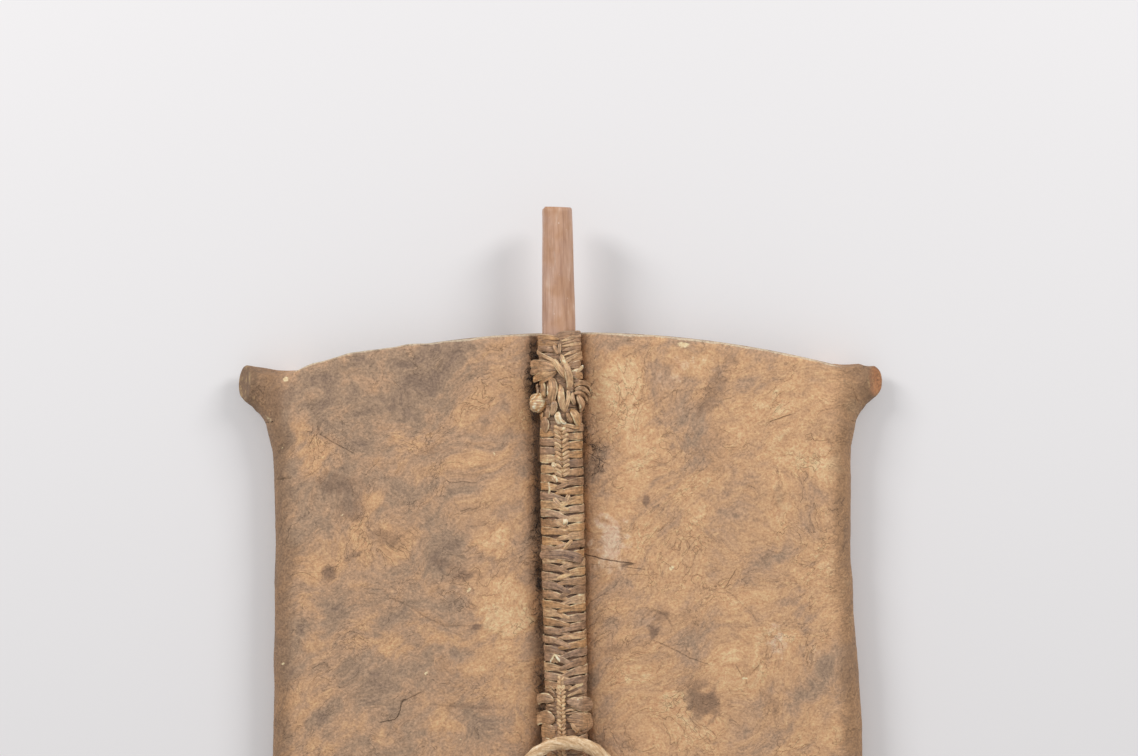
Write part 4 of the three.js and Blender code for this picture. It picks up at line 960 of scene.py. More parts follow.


# ---- The end knots ----------------------------------------------------------------------------------
# Two thin pale strips laid along the tops of thick straps are painted highlights.
# At each end the strips are gathered into a knotted head: smooth turns round the stick nearest the end,
# then straps crossed over the middle, with folded buds, a round bead of hide and loose pale scraps.
# Each strap: its points (x, y, lift), width, thickness, tone and ochre.
TOP_KNOT_STRAPS = [
    ([(-17, 320.3, 0), (-13, 320.3, 0.2), (-7, 320.2, 0.4), (0, 318.8, 0.5)],
     [4.2, 4, 3.8, 2.2], 1.8, -0.1, 0.8),
    ([(-17, 316.6, 0), (-13, 316.8, 0.1), (-7, 316.4, 0.3), (-1, 315.0, 0.5)],
     [4.2, 4, 3.8, 2.2], 1.8, -0.15, 0.75),
    ([(-17, 312.6, 0), (-13, 313.0, 0.1), (-7, 312.2, 0.3), (-2, 311, 0.5)],
     [4, 4, 3.6, 2.4], 1.8, -0.3, 0.4),
    ([(16.5, 320.6, 0), (12.6, 321.0, 0.3), (7, 319.4, 0.7), (0.8, 317.4, 0.6)],
     [2.6, 2.4, 2.2, 1.4], 1.7, 0.2, 0.3),
    ([(16.5, 318.2, 0), (12.6, 318.5, 0.2), (7, 317.2, 0.5), (0.6, 315.4, 0.6)],
     [2.8, 2.6, 2.4, 1.4], 1.7, -0.1, 0.3),
    ([(16.5, 315.9, 0), (12.6, 316.0, 0.3), (7, 315.0, 0.8), (0.6, 314.2, 0.8)],
     [2.4, 2.2, 2.4, 1.4], 1.7, 0.3, 0.4),
    ([(16.5, 313.6, 0), (12.6, 313.6, 0.2), (7, 312.6, 0.5), (1, 311.2, 0.6)],
     [2.8, 2.6, 2.6, 1.4], 1.7, -0.15, 0.3),
    ([(16.5, 311.2, 0), (12.8, 311.9, 0.3), (7, 310.0, 0.9), (2, 308.0, 0.8)],
     [2.4, 2.2, 2.2, 1.6], 1.6, 0.25, 0.4),
    ([(-3.6, 315.8, 0.6), (-2.6, 312.6, 1.5), (-1.2, 309.2, 1.3)], [2.2, 2.8, 2.2], 1.7, 0.15, 0.4),
    ([(0.2, 316.4, 0.8), (-0.1, 312.8, 1.5), (-0.4, 309.4, 1.2)], [1.8, 2.4, 2.0], 1.6, 0.3, 0.3),
    ([(-17, 312.0, 0), (-14, 310.8, 0.8), (-9.5, 307.9, 1.8), (-4, 304.6, 2.6), (-1.4, 300.5, 3.0),
      (1.6, 296, 3.0), (4.2, 292.2, 1.6)], [2.8, 2.8, 2.6, 2.8, 2.6, 2.6, 2.0], 1.7, 0.25, 0.55),
    ([(-3.4, 306.6, 1.6), (0.2, 301.4, 2.7), (3.2, 296.6, 2.6), (5.4, 293.2, 1.4)],
     [1.6, 2.3, 2.3, 1.8], 1.5, 0.35, 0.45),
    ([(-1.5, 299.4, 1.6), (-6, 301.9, 2.5), (-12, 303.4, 2.4), (-16.4, 303.6, 1.6), (-18.2, 303, 0.6),
      (-16, 302.6, 0)],
     [2.2, 4.2, 5.2, 5.2, 4.6, 4.0], 2.2, -0.05, 0.5),
    ([(-1.5, 299.0, 1.6), (-7, 299.8, 2.6), (-12.4, 299.6, 2.4), (-16.4, 298.8, 1.4),
      (-17.8, 298.2, 0.4), (-16, 298, 0)],
     [2.2, 4.4, 5.2, 5.0, 4.6, 4.0], 2.2, 0.0, 0.4),
    ([(-1.6, 298.4, 1.6), (-7, 297.0, 2.5), (-12, 295.2, 2.2), (-15.4, 294, 1.2), (-16.8, 293.2, 0.4),
      (-16, 293, 0)],
     [2.2, 4.2, 5.0, 4.8, 4.4, 4.0], 2.2, 0.1, 0.7),
    ([(-2, 297.6, 1.2), (-7, 294.6, 2.0), (-11.5, 292.0, 1.4), (-16.5, 290.6, 0)],
     [2, 3.4, 3.8, 3.4], 2.0, -0.2, 0.85),
    ([(17, 309, 0), (13.6, 309.4, 0.4), (8, 307.0, 1.6), (3, 304.0, 2.2), (-0.6, 301, 1.6)],
     3.1, 1.7, 0.25, 0.4),
    ([(17, 306, 0), (13.6, 306.6, 0.5), (8.4, 304.4, 1.4), (4, 301.8, 1.7)],
     [3.4, 3.2, 3.0, 2.2], 1.7, 0.0, 0.5),
    ([(16.8, 303.4, 0), (12, 302.9, 1.2), (8, 301.9, 1.6), (5, 300.4, 1.2)],
     [4.6, 4.8, 4.4, 3.0], 1.8, -0.1, 0.35),
    ([(7.0, 297.6, 1.6), (10.4, 298.5, 2.3), (13.4, 300.0, 1.9), (15.0, 301.4, 0.8)],
     [2.2, 2.8, 3.2, 2.4], 1.5, 0.85, 0.3),
    ([(6.4, 296.0, 1.4), (10.4, 295.6, 1.8), (13.8, 295.0, 1.0), (16, 294.6, 0)],
     [3.6, 4.8, 4.6, 4.0], 1.9, 0.0, 0.6),
    ([(8.0, 291.6, 1.2), (11.4, 292.0, 1.4), (16, 291.6, 0)], [3.0, 3.4, 3.0], 1.8, -0.35, 0.4),
    ([(0.9, 309.2, 1.4), (1.8, 305.8, 2.5), (3.2, 302.4, 2.4)], [2.2, 3.2, 2.8], 1.8, 0.6, 0.4),
    ([(2.6, 305.0, 1.6), (4.4, 300.2, 3.0), (5.6, 295.0, 3.5), (6.2, 290.4, 3.1), (4.6, 286.2, 1.8)],
     [2.6, 4.2, 5.0, 4.8, 2.8], 2.4, 0.35, 0.6),
    ([(-6.6, 294.2, 1.0), (-5.2, 291.0, 2.9), (-4.8, 286, 3.5), (-5.6, 281.4, 2.9), (-6, 278.4, 1.0)],
     [3.0, 6.0, 7.0, 6.2, 3.0], 3.4, 0.05, 0.6),
    # A thin pale strip along the top of the thick strap above: a painted highlight.
    ([(-7.8, 289.0, 3.0), (-7.9, 286, 3.8), (-8.2, 282.6, 3.0)], [0.9, 1.4, 0.9], 1.2, 1.0, 0.3),
    ([(-10.4, 291.2, 0.8), (-10.8, 286.6, 2.1), (-10.2, 281.6, 1.6)], [3.0, 4.2, 3.4], 2.4, 0.0, 0.85),
    ([(-14.4, 290.6, 0.2), (-14.6, 286.6, 0.8), (-13.6, 283.0, 0.8)], [3.0, 3.6, 3.0], 2.2, -0.35, 0.6),
    ([(-0.4, 290.0, 1.2), (0.3, 285.4, 3.0), (0.5, 280.2, 3.4), (1.4, 275.6, 2.7), (2.6, 272.0, 1.2)],
     [2.2, 4.4, 5.0, 4.2, 2.4], 2.6, 0.4, 0.55),
    # A thin pale strip along the top of the thick strap above: a painted highlight.
    ([(-0.9, 284.6, 3.6), (-0.8, 281.6, 4.1), (-0.6, 278.8, 3.6)], [1.0, 1.7, 1.0], 1.2, 1.2, 0.3),
    ([(4.8, 286.4, 1.6), (5.0, 281.2, 2.7), (3.6, 276.0, 2.6), (2.2, 271.4, 1.2)],
     [2.2, 3.2, 3.2, 2.2], 2.0, 0.25, 0.5),
    ([(8.4, 288.2, 1.4), (12.4, 290.6, 2.2), (16.4, 290.0, 2.6), (19.0, 287.4, 2.2), (19.4, 284, 0.4)],
     [2.6, 3.4, 3.6, 3.2, 2.4], 2.2, -0.05, 0.45),
    ([(8.8, 286.0, 1.8), (13.0, 287.2, 2.8), (16.6, 285.4, 3.0), (18.8, 281.6, 1.6)],
     [2.2, 3.0, 3.0, 2.2], 2.0, 0.1, 0.3),
    ([(8.2, 283.6, 1.8), (12.0, 284.2, 2.8), (15.4, 282.0, 2.8), (17.6, 278.6, 1.4)],
     [2.2, 2.8, 2.6, 2.0], 1.9, -0.1, 0.5),
    ([(10.8, 283.4, 1.4), (12.2, 280.0, 3.0), (13.4, 276.0, 2.9), (12.6, 271.2, 1.0)],
     [2.8, 5.0, 5.4, 2.8], 2.8, 0.0, 0.45),
    ([(8.0, 284.4, 1.8), (7.6, 280.6, 2.8), (9.0, 276.6, 1.8)], [2.2, 3.4, 2.4], 2.0, 0.2, 0.4),
    ([(-3.6, 280.0, 1.6), (-4.2, 275.4, 2.8), (-5.6, 269.8, 1.6)], [2.6, 4.6, 3.0], 2.3, 0.1, 0.3),
    ([(-7.6, 276.0, 1.2), (-8.0, 271.8, 2.2), (-9.0, 268.2, 1.2)], [2.8, 4.0, 3.0], 2.2, -0.05, 0.4),
    ([(-11.8, 272.6, 0.8), (-12.0, 270.0, 1.2), (-12.6, 267.4, 0.6)], [2.6, 3.4, 2.6], 2.0, -0.1, 0.9),
    ([(-1.2, 272.4, 1.8), (-2.0, 269.6, 3.4), (-1.2, 266.6, 3.4), (-0.8, 264.2, 2.0)],
     [2.2, 4.4, 4.8, 3.0], 1.6, 1.15, 0.25),
    ([(-0.4, 267.4, 3.2), (1.4, 265.6, 3.4), (3.2, 264.6, 2.2)], [2.4, 2.6, 1.4], 1.4, 1.0, 0.25),
    ([(-10.4, 269.4, 0.8), (-10.2, 264.2, 2.0), (-10.6, 259.2, 0.6)], [5.0, 6.8, 5.6], 2.2, -0.1, 0.5),
    ([(6.2, 273.8, 1.2), (8.8, 270.6, 2.9), (10.4, 266.8, 2.6), (11.6, 263.8, 0.8)],
     [3.2, 5.8, 6.2, 3.4], 3.0, 0.15, 0.9),
    ([(3.6, 271.6, 1.2), (5.4, 268.2, 2.1), (6.6, 264.8, 1.4)], [2.2, 3.2, 2.4], 1.8, -0.1, 0.6),
    ([(-0.4, 263.9, 1.8), (5, 263.0, 2.5), (10, 261.9, 2.0), (15.6, 262.6, 0)],
     [2.2, 2.8, 2.8, 2.6], 1.8, 0.1, 0.7),
    ([(-3.4, 261.6, 1.4), (3, 260.6, 2.0), (8.4, 260.0, 1.4)], [2.0, 2.4, 2.0], 1.7, 0.25, 0.5),
]


def lay_under_turns(bundle, draw, top_y, turns, pitch, jitter, skew, sink, tail_sink, width, tone, ochre,
                    seed):
    """Lays the plain turns that show between a knot's or a binding's straps, one up each side per turn."""
    for k in range(turns):
        for side in (-1, 1):
            y = top_y - k * pitch + draw.uniform(-jitter, jitter) + side * skew
            points = round_stick(side, y, lift=-sink, last=20) + [on_stick(-side * 3, y - 1, -tail_sink)]
            lay_strap(bundle, points, width, 2.0, tone, ochre, seed=seed + 2 * k + (side > 0), square=0.5,
                      pleats=0.12)


def lay_over_straps(bundle, straps, flip, square, pleats, seed):
    """Lays a list of straps over the turns; flip swaps left and right for the foot."""
    for k, (points, width, thick, tone, ochre) in enumerate(straps):
        laid = [on_stick(-x if flip else x, y, lift) for x, y, lift in points]
        lay_strap(bundle, laid, width, thick, tone, ochre, seed=seed + k, square=square, pleats=pleats,
                  blunt=0.2)


def lay_bead(bundle, middle, half_sizes, seed):
    """Adds a lumpy ball of balled-up hide to a bundle of straps."""
    start = len(bundle["points"])
    turn = np.linspace(0, 2 * math.pi, STRAP_SIDES, endpoint=False)
    levels = np.linspace(0.12, math.pi - 0.12, 18)
    for level in levels:
        spot = np.stack([math.sin(level) * np.cos(turn), np.full(STRAP_SIDES, -math.cos(level)),
                         math.sin(level) * np.sin(turn)], axis=-1)
        lumps = 1 + 0.05 * np.sin(3 * turn + 4 * level + seed) + 0.04 * np.sin(5 * turn - 3 * level)
        bundle["points"].extend(np.array(middle) + spot * np.array(half_sizes) * lumps[:, None])
        bundle["tone"].extend(0.3 + 0.5 * np.sin(2 * turn + 3 * level))
        bundle["ochre"].extend([1.0] * STRAP_SIDES)
        bundle["edge"].extend(0.4 + 0.5 * np.sin(7 * turn + 5 * level))
        bundle["under"].extend([0.0] * STRAP_SIDES)
        bundle["strand"].extend(spot * np.array(half_sizes) * MM)
    bundle["faces"] += [face[::-1] for face in tube_faces(len(levels), STRAP_SIDES, start)]


for name, node, flip, seed in (("top_knot_straps", "top_knot", False, 8),
                               ("foot_knot_straps", "bottom_knot", True, 9)):
    knot = new_bundle()
    draw = np.random.RandomState(seed)
    lay_under_turns(knot, draw, 319.8, turns=11, pitch=5.5, jitter=0.4, skew=1.2, sink=0.25, tail_sink=0.4,
                    width=5.6, tone=-0.35, ochre=0.35, seed=700 + seed * 50)
    lay_over_straps(knot, TOP_KNOT_STRAPS, flip, square=0.7, pleats=0.16, seed=800 + seed * 90)
    lay_bead(knot, (14.4 if flip else -14.4, 278.2, 49.6), (6.0, 6.2, 4.8), seed)
    tie_off(knot, name, [node], strip_hide, flip=flip)


# ---- The grip bindings ------------------------------------------------------------------------------
# In each binding, two thin pale strips along the tops of the pads are painted highlights.
# At each end of the hand hollow the strips are doubled into thick pads that spread the pull of the stick.
# They were chewed or hammered soft, folded over and dried to a hard shine, with thin strands between.
# Each strap: its points (x, y, lift), width, thickness, tone and ochre.
UPPER_BINDING_STRAPS = [
    ([(-16, 93.0, 0), (-12, 95.0, 0.8), (-9.5, 95.1, 1.3), (-6.6, 92.6, 1.0)],
     [1.8, 1.8, 1.8, 1.3], 1.6, 0.3, 0.3),
    ([(-16, 91.0, 0), (-12, 92.8, 0.7), (-9.5, 92.9, 1.2), (-6.6, 90.6, 0.9)],
     [1.8, 1.8, 1.8, 1.3], 1.6, 0.15, 0.3),
    ([(16.6, 94, 0), (12, 94.2, 0.3), (7, 93.2, 0.4)], [8.4, 8.0, 6.0], 1.8, -0.1, 0.1),
    ([(13.0, 96.4, 0.4), (8, 96.0, 1.0), (1.4, 93.0, 1.1)], [2.4, 2.2, 1.6], 1.6, 0.45, 0.3),
    ([(13.0, 91.6, 0.4), (8, 92.0, 1.1), (0.4, 89.2, 1.1)], [2.4, 2.2, 1.6], 1.6, 0.3, 0.3),
    ([(-16.4, 84.6, 0), (-17.6, 86.0, 1.6), (-14.8, 87.6, 2.7), (-11.4, 87.8, 2.7), (-7.4, 86.2, 1.4)],
     [5.4, 6.6, 7.2, 6.6, 4.0], 3.4, 0.1, 0.3),
    # A thin pale strip along the top of the pad above: a painted highlight.
    ([(-15.8, 86.8, 3.1), (-14.6, 89.2, 3.6), (-13.0, 90.0, 3.6)], [1.0, 1.8, 1.0], 1.0, 1.2, 0.2),
    ([(-0.2, 86.2, 1.0), (4.6, 85.4, 2.0), (9.4, 84.2, 2.6), (14.6, 82.8, 2.1), (16.4, 81.8, 0.4)],
     [3.0, 6.6, 9.6, 9.4, 7.0], 2.8, 0.0, 0.15),
    # A thin pale strip along the top of the pad above: a painted highlight.
    ([(6.6, 86.4, 3.3), (8.6, 88.0, 3.7), (10.6, 87.6, 3.4)], [1.0, 1.8, 1.0], 1.0, 1.1, 0.1),
    ([(-16, 82.6, 0), (-11.4, 83.4, 1.2), (-7.0, 82.8, 1.0)], [1.8, 1.8, 1.4], 1.5, 0.15, 0.3),
    ([(-16, 80.4, 0), (-11.4, 81.0, 1.1), (-7.0, 80.4, 1.0)], [1.8, 1.8, 1.4], 1.5, 0.0, 0.3),
    ([(7.8, 79.9, 1.2), (3, 80.7, 1.6), (-1.6, 79.7, 1.2)], [1.4, 1.6, 1.2], 1.4, 0.35, 0.3),
    ([(16, 78.4, 0), (8, 79.0, 1.3), (-1.6, 78.0, 1.2)], [1.8, 1.6, 1.2], 1.4, 0.1, 0.3),
    ([(-16.2, 71.0, 0), (-17.8, 73.0, 1.2), (-15, 74.8, 2.1), (-11.5, 75.0, 2.1), (-7.0, 74.0, 1.2)],
     [7.0, 8.8, 9.6, 9.4, 6.4], 2.5, 0.0, 0.5),
    ([(-16.6, 64.4, 0), (-15.6, 65.6, 1.0), (-12.2, 66.4, 1.5), (-7.0, 66.0, 1.1)],
     [9.6, 11.2, 11.4, 8.4], 2.2, -0.05, 0.6),
    ([(-16.6, 57.0, 0), (-15.2, 58.2, 1.1), (-12.2, 58.6, 1.6), (-8.0, 58.0, 1.2)],
     [7.0, 8.0, 8.0, 6.0], 2.8, -0.15, 0.4),
    ([(0.0, 74.6, 1.0), (5, 74.2, 1.9), (10, 73.0, 2.3), (14.8, 71.8, 1.7), (16.4, 70.6, 0.3)],
     [5.0, 9.2, 11.0, 10.4, 8.0], 2.6, -0.05, 0.45),
    ([(3.0, 72.4, 2.2), (5.2, 69.2, 2.9), (8.2, 65.6, 2.2)], [2.0, 3.2, 2.4], 1.8, 0.15, 0.5),
    ([(9.0, 72.0, 2.2), (8.0, 68.4, 2.8), (5.8, 65.2, 1.9)], [2.0, 2.8, 2.2], 1.8, 0.05, 0.7),
    ([(16.2, 67.4, 0), (13, 67.6, 1.2), (9.4, 66.6, 1.2)], [4.4, 4.6, 3.6], 2.2, -0.2, 0.4),
    ([(16.2, 62.0, 0), (12, 61.8, 1.0), (6.8, 61.0, 1.0)], [5.0, 5.0, 4.0], 2.0, -0.3, 0.4),
    ([(-4.6, 63.6, 1.4), (-2.4, 62.8, 2.0), (-0.4, 61.2, 1.2)], [1.6, 2.2, 1.6], 1.6, 1.3, 0.2),
    ([(16.2, 54.0, 0), (10, 54.2, 1.0), (1.0, 53.6, 1.2)], [4.4, 4.6, 3.0], 2.0, 0.0, 0.4),
    ([(-16.2, 50.6, 0), (-11, 51.2, 1.1), (-6.6, 50.4, 1.1)], [4.4, 4.8, 3.0], 2.0, 0.1, 0.6),
    ([(16.2, 48.6, 0), (10, 48.8, 1.0), (1.0, 48.2, 1.0)], [4.4, 4.6, 3.0], 2.0, -0.1, 0.6),
]
for name, node, flip, seed in (("upper_binding_straps", "upper_grip_binding", False, 3),
                               ("lower_binding_straps", "lower_grip_binding", True, 4)):
    binding = new_bundle()
    draw = np.random.RandomState(seed)
    lay_under_turns(binding, draw, 91.6, turns=9, pitch=5.3, jitter=0.3, skew=1.0, sink=0.3, tail_sink=0.5,
                    width=5.2, tone=-0.45, ochre=0.4, seed=300 + seed * 40)
    lay_over_straps(binding, UPPER_BINDING_STRAPS, flip, square=0.8, pleats=0.12, seed=400 + seed * 60)
    lay_chain(binding, 94.0, 47.5, 3.2 if flip else -3.2, seed=seed + 20, half_width=2.5, pitch=2.5)
    tie_off(binding, name, [node], strip_hide, flip=flip)


# ---- The hand guard ---------------------------------------------------------------------------------
# A hoop of pale rawhide, twisted to a cord while wet and bent round the hollow. It stands off the hide
# over the bindings and is tied down by a flat strip at each side, where it dips to the hide.
GUARD_HALF_WIDTH, GUARD_HALF_LENGTH, GUARD_SQUARENESS = 38.8, 60.4, 2.22
GUARD_RADIUS, GUARD_TOP_Z, GUARD_SIDE_Z = 3.2, 62.5, 37.0
GUARD_STATIONS, GUARD_SIDES, GUARD_FLATNESS = 300, 22, 1.32
theta = np.linspace(0, 2 * math.pi, GUARD_STATIONS, endpoint=False)
bowed = [np.sign(wave) * np.abs(wave) ** (2 / GUARD_SQUARENESS) for wave in (np.cos(theta), np.sin(theta))]
guard_z = GUARD_SIDE_Z + (GUARD_TOP_Z - GUARD_SIDE_Z) * smoothstep(np.abs(bowed[1]), 0.1, 0.93)
guard_path = np.stack([GUARD_HALF_WIDTH * bowed[0], GUARD_HALF_LENGTH * bowed[1], guard_z], axis=-1)
tangent = np.roll(guard_path, -1, axis=0) - np.roll(guard_path, 1, axis=0)
tangent /= np.linalg.norm(tangent, axis=1, keepdims=True)
outward = guard_path * np.array([1, 1, 0]) / np.array([GUARD_HALF_WIDTH**2, GUARD_HALF_LENGTH**2, 1])
outward -= tangent * (outward * tangent).sum(axis=1, keepdims=True)
outward /= np.linalg.norm(outward, axis=1, keepdims=True)
upward = np.cross(outward, tangent)
turn = np.linspace(0, 2 * math.pi, GUARD_SIDES, endpoint=False)[None, :]
swell = 1 + 0.05 * np.sin(5 * theta + 1)[:, None] + 0.04 * np.sin(13 * theta)[:, None]
twist = 0.05 * np.cos(3 * turn + 34 * theta[:, None]) + 0.035 * np.cos(7 * turn - 21 * theta[:, None])
cord = GUARD_RADIUS * 0.97 * (swell * (1 + twist))
across_cord = GUARD_FLATNESS * cord * np.cos(turn)
over_cord = np.minimum(cord, GUARD_RADIUS) * np.sin(turn)
guard_points = (guard_path[:, None] + across_cord[..., None] * outward[:, None]
                + over_cord[..., None] * upward[:, None])
index = np.arange(GUARD_STATIONS * GUARD_SIDES).reshape(GUARD_STATIONS, GUARD_SIDES)
ahead, beside = np.roll(index, -1, axis=0), np.roll(index, -1, axis=1)
guard_faces = np.stack([index, ahead, np.roll(ahead, -1, axis=1), beside], axis=-1).reshape(-1, 4).tolist()
guard_piece = new_piece("hand_guard_hoop", guard_points.reshape(-1, 3), guard_faces)
along_cord = np.concatenate([[0], np.cumsum(np.linalg.norm(np.diff(guard_path, axis=0), axis=1))])
along_cord = along_cord[:, None]
twisted = turn + 0.09 * along_cord
cord_place = np.stack(np.broadcast_arrays(along_cord, GUARD_RADIUS * np.cos(twisted),
                                          GUARD_RADIUS * np.sin(twisted)), axis=-1)
layer = guard_piece.data.attributes.new("strand", "FLOAT_VECTOR", "POINT")
layer.data.foreach_set("vector", (cord_place.reshape(-1, 3) * MM).astype(np.float32).ravel())

# Pale rawhide cord: cream and fibrous, twisted, with drawn fibres 0.4 to 1 mm wide, soiled in the
# hollows and rubbed nearly white on top.
pale_hide, tree = new_material("pale_rawhide_cord")
place = add_node(tree, "TexCoord", {}, out="Object")
strand = add_node(tree, "Attribute", {}, out="Vector", attribute_name="strand")
fibre_place = add_node(tree, "Mapping", {"Vector": strand, "Scale": (0.14, 1.0, 1.0)})
fibre = add_node(tree, "TexNoise", {"Vector": fibre_place, "Scale": 1 / (1.2 * MM), "Detail": 4.0,
                                    "Roughness": 0.62})
fleck = add_node(tree, "TexNoise", {"Vector": place, "Scale": 1 / (2.6 * MM), "Detail": 4.0,
                                    "Roughness": 0.65})
colour = add_node(tree, "ValToRGB", {"Fac": fibre},
                  stops=((0.3, linear("#a98763")), (0.42, linear("#d0aa80")), (0.56, linear("#e3c49c")),
                         (0.72, linear("#f8e2c4"))))
for low, high, strength, pigment in ((0.52, 0.3, 0.6, "#ab8560"), (0.56, 0.72, 0.7, "#fbe9d0")):
    share = add_node(tree, "MapRange", {"Value": fleck, "From Min": low, "From Max": high,
                                        "To Max": strength})
    colour = add_node(tree, "MixRGB", {"Fac": share, "Color1": colour, "Color2": linear(pigment)})
rough = add_node(tree, "MapRange", {"Value": fleck, "To Min": 0.45, "To Max": 0.8})
height = add_node(tree, "Math", {0: fleck, 1: 0.5, 2: fibre}, operation="MULTIPLY_ADD")
finish_material(pale_hide, tree, colour, rough, height, 0.6, IOR=1.5, Specular_IOR_Level=0.4)
guard_piece.data.materials.append(pale_hide)
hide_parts("hand_guard")

# Each tie is one strip that goes round the hoop, down through two slits in the hide and back up.
TIE_WIDTH, TIE_THICKNESS, TIE_HALF_SPAN, TIE_SQUARENESS = 8.0, 2.0, 6.6, 0.55
for name, node, side in (("guard_tie_right_strip", "guard_tie_right", 1),
                         ("guard_tie_left_strip", "guard_tie_left", -1)):
    tie = new_bundle()
    low, high = (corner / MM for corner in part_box(node))
    middle_x = side * GUARD_HALF_WIDTH
    middle_z = (low.z + high.z) / 2
    half_tall = (high.z - low.z - TIE_THICKNESS) / 2 - 0.2
    loop = []
    for angle in np.linspace(math.radians(-95), math.radians(275), 22):
        out, up = (math.copysign(abs(wave) ** TIE_SQUARENESS, wave) for wave in (math.cos(angle),
                                                                                 math.sin(angle)))
        loop.append((middle_x + side * TIE_HALF_SPAN * out, 0.8 * math.sin(angle * 0.5) - 0.3,
                     middle_z + half_tall * up))
    lay_strap(tie, loop, TIE_WIDTH * 0.94, TIE_THICKNESS, 0.15, 0.4, square=0.45, pleats=0.12,
              seed=90 + side, hub=(middle_x, middle_z), stations=72, blunt=0.04)
    tie_off(tie, name, [node], strip_hide)


# ---- The hairs --------------------------------------------------------------------------------------
# The animal's own dark hair is left in the groove beside the stick, where the scraper couldn't reach.
# Short, bent hairs root in the hide; they are drawn about 0.25 mm thick so that they show.
# Each patch: its x, how far it spreads, its lowest and highest y and how many hairs it has.
HAIR_STEPS, HAIR_LENGTH, HAIR_RADIUS = 5, (3.0, 8.5), (0.10, 0.16)
HAIR_PATCHES = [
    (-17.2, 1.5, 292, 316, 130), (-17.4, 1.9, 268, 302, 260), (-16.6, 1.3, 100, 268, 330),
    (-16.0, 1.5, 50, 100, 90),
    (16.8, 1.4, 284, 314, 80), (17.6, 1.7, 232, 290, 110), (22.5, 3.4, 232, 252, 60),
    (16.0, 1.1, 170, 232, 80),
    (15.6, 1.0, 50, 170, 90), (-16.6, 1.3, -320, -60, 220), (16.4, 1.3, -320, -60, 220),
]
draw = np.random.RandomState(77)
hair_points, hair_faces, hair_lines = [], [], []
for middle_x, spread, low_y, high_y, count in HAIR_PATCHES:
    for _ in range(count):
        x = middle_x + draw.normal(0, spread)
        y = draw.uniform(low_y, high_y)
        heading = draw.uniform(0, 2 * math.pi)
        bend = draw.uniform(-1.1, 1.1)
        rise = draw.uniform(0.15, 0.9)
        step = draw.uniform(*HAIR_LENGTH) / HAIR_STEPS
        inward = -math.copysign(draw.uniform(0, 0.25), x)
        spot = np.array([x, y, float(front_z_at(np.array(x), np.array(y))) - 0.5])
        line = [spot]
        for _ in range(HAIR_STEPS):
            spot = spot + step * np.array([math.cos(heading) * math.cos(rise) + inward,
                                           math.sin(heading) * math.cos(rise), math.sin(rise)])
            floor_z = float(front_z_at(np.array(spot[0]), np.array(spot[1]))) + 0.25
            spot[2] = max(spot[2], floor_z)
            heading += bend * 0.45
            rise -= 0.32
            line.append(spot)
        hair_lines.append((np.array(line), draw.uniform(*HAIR_RADIUS)))
for line, radius in hair_lines:
    tangent = np.gradient(line, axis=0)
    tangent /= np.linalg.norm(tangent, axis=1, keepdims=True)
    sideways = np.cross(tangent, np.array([0.0, 0.0, 1.0]) + 0.01)
    sideways /= np.linalg.norm(sideways, axis=1, keepdims=True)
    upward = np.cross(sideways, tangent)
    thin = radius * np.linspace(1, 0.45, HAIR_STEPS + 1)[:, None]
    corners = [line + thin * (math.cos(a) * sideways + math.sin(a) * upward) for a in (0.5, 2.6, 4.7)]
    start = len(hair_points)
    hair_points.extend(np.stack(corners, axis=1).reshape(-1, 3))
    hair_faces += tube_faces(HAIR_STEPS + 1, 3, start)
hair_piece = new_piece("groove_hairs", hair_points, hair_faces)

# Coarse dark animal hair: brown-black, a slight shine, dusty in places.
hair_material, tree = new_material("dark_animal_hair")
place = add_node(tree, "TexCoord", {}, out="Object")
dust = add_node(tree, "TexNoise", {"Vector": place, "Scale": 1 / (4 * MM), "Detail": 2.0})
colour = add_node(tree, "ValToRGB", {"Fac": dust},
                  stops=((0.4, linear("#211915")), (0.56, linear("#3a2c23")), (0.68, linear("#6f5a49"))))
rough = add_node(tree, "MapRange", {"Value": dust, "To Min": 0.35, "To Max": 0.6})
finish_material(hair_material, tree, colour, rough, dust, 0.02, IOR=1.55, Specular_IOR_Level=0.5)
hair_piece.data.materials.append(hair_material)


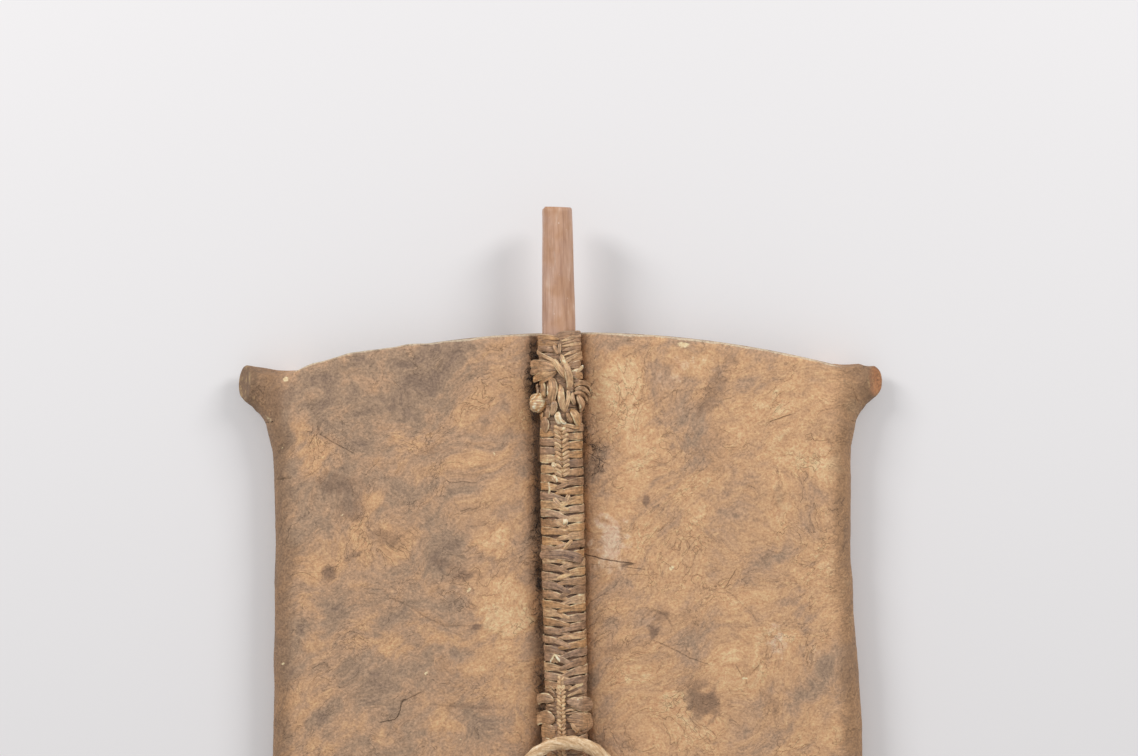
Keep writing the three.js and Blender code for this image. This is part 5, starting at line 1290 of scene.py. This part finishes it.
# ---- The studio -------------------------------------------------------------------------------------
# A plain pale sheet under the shield, a large soft light at each side and an even pale room. The camera
# looks straight down, turned a little, and takes in the upper half.
VIEW_X, VIEW_Y, VIEW_HEIGHT, VIEW_TURN = 0.0057, 0.2938, 1.9, math.radians(-1.05)
SEEN_HEIGHT, SEEN_WIDTH = 0.034, 0.7397
camera_data = bpy.data.cameras.new("camera")
camera_data.sensor_width = 36
camera_data.lens = camera_data.sensor_width * (VIEW_HEIGHT - SEEN_HEIGHT) / SEEN_WIDTH
camera = bpy.data.objects.new("camera", camera_data)
camera.location = (VIEW_X, VIEW_Y, VIEW_HEIGHT)
camera.rotation_euler = (0, 0, VIEW_TURN)
bpy.context.scene.collection.objects.link(camera)
bpy.context.scene.camera = camera

floor_mesh = bpy.data.meshes.new("floor")
FLOOR_HALF = 6
floor_corners = [(FLOOR_HALF * x, FLOOR_HALF * y, 0) for x, y in ((-1, -1), (1, -1), (1, 1), (-1, 1))]
floor_mesh.from_pydata(floor_corners, [], [(0, 1, 2, 3)])
floor = bpy.data.objects.new("floor", floor_mesh)
bpy.context.scene.collection.objects.link(floor)
floor_material, tree = new_material("backdrop_paper")
floor_shader = add_node(tree, "BsdfPrincipled",
                        {"Base Color": linear("#e9e7e8"), "Roughness": 0.9, "Specular IOR Level": 0.1})
add_node(tree, "OutputMaterial", {"Surface": floor_shader})
floor_mesh.materials.append(floor_material)

LIGHT_SIZE, LIGHT_PLACE, LIT_POINT = (0.5, 0.9), (1.25, 1.25, 1.35), Vector((0, 0.45, 0))
for side, watts in ((-1, 18.3), (1, 16.9)):
    light = bpy.data.lights.new("soft_light", "AREA")
    light.shape = "RECTANGLE"
    light.size, light.size_y = LIGHT_SIZE
    light.energy = watts
    holder = bpy.data.objects.new("soft_light", light)
    holder.location = (side * LIGHT_PLACE[0], LIGHT_PLACE[1], LIGHT_PLACE[2])
    holder.rotation_euler = (LIT_POINT - holder.location).to_track_quat("-Z", "Y").to_euler()
    bpy.context.scene.collection.objects.link(holder)
world = bpy.data.worlds.new("room")
world.use_nodes = True
sky = world.node_tree.nodes["Background"]
sky.inputs["Color"].default_value = (1, 1, 1, 1)
sky.inputs["Strength"].default_value = 0.47
bpy.context.scene.world = world
bpy.context.scene.view_settings.view_transform = "Standard"
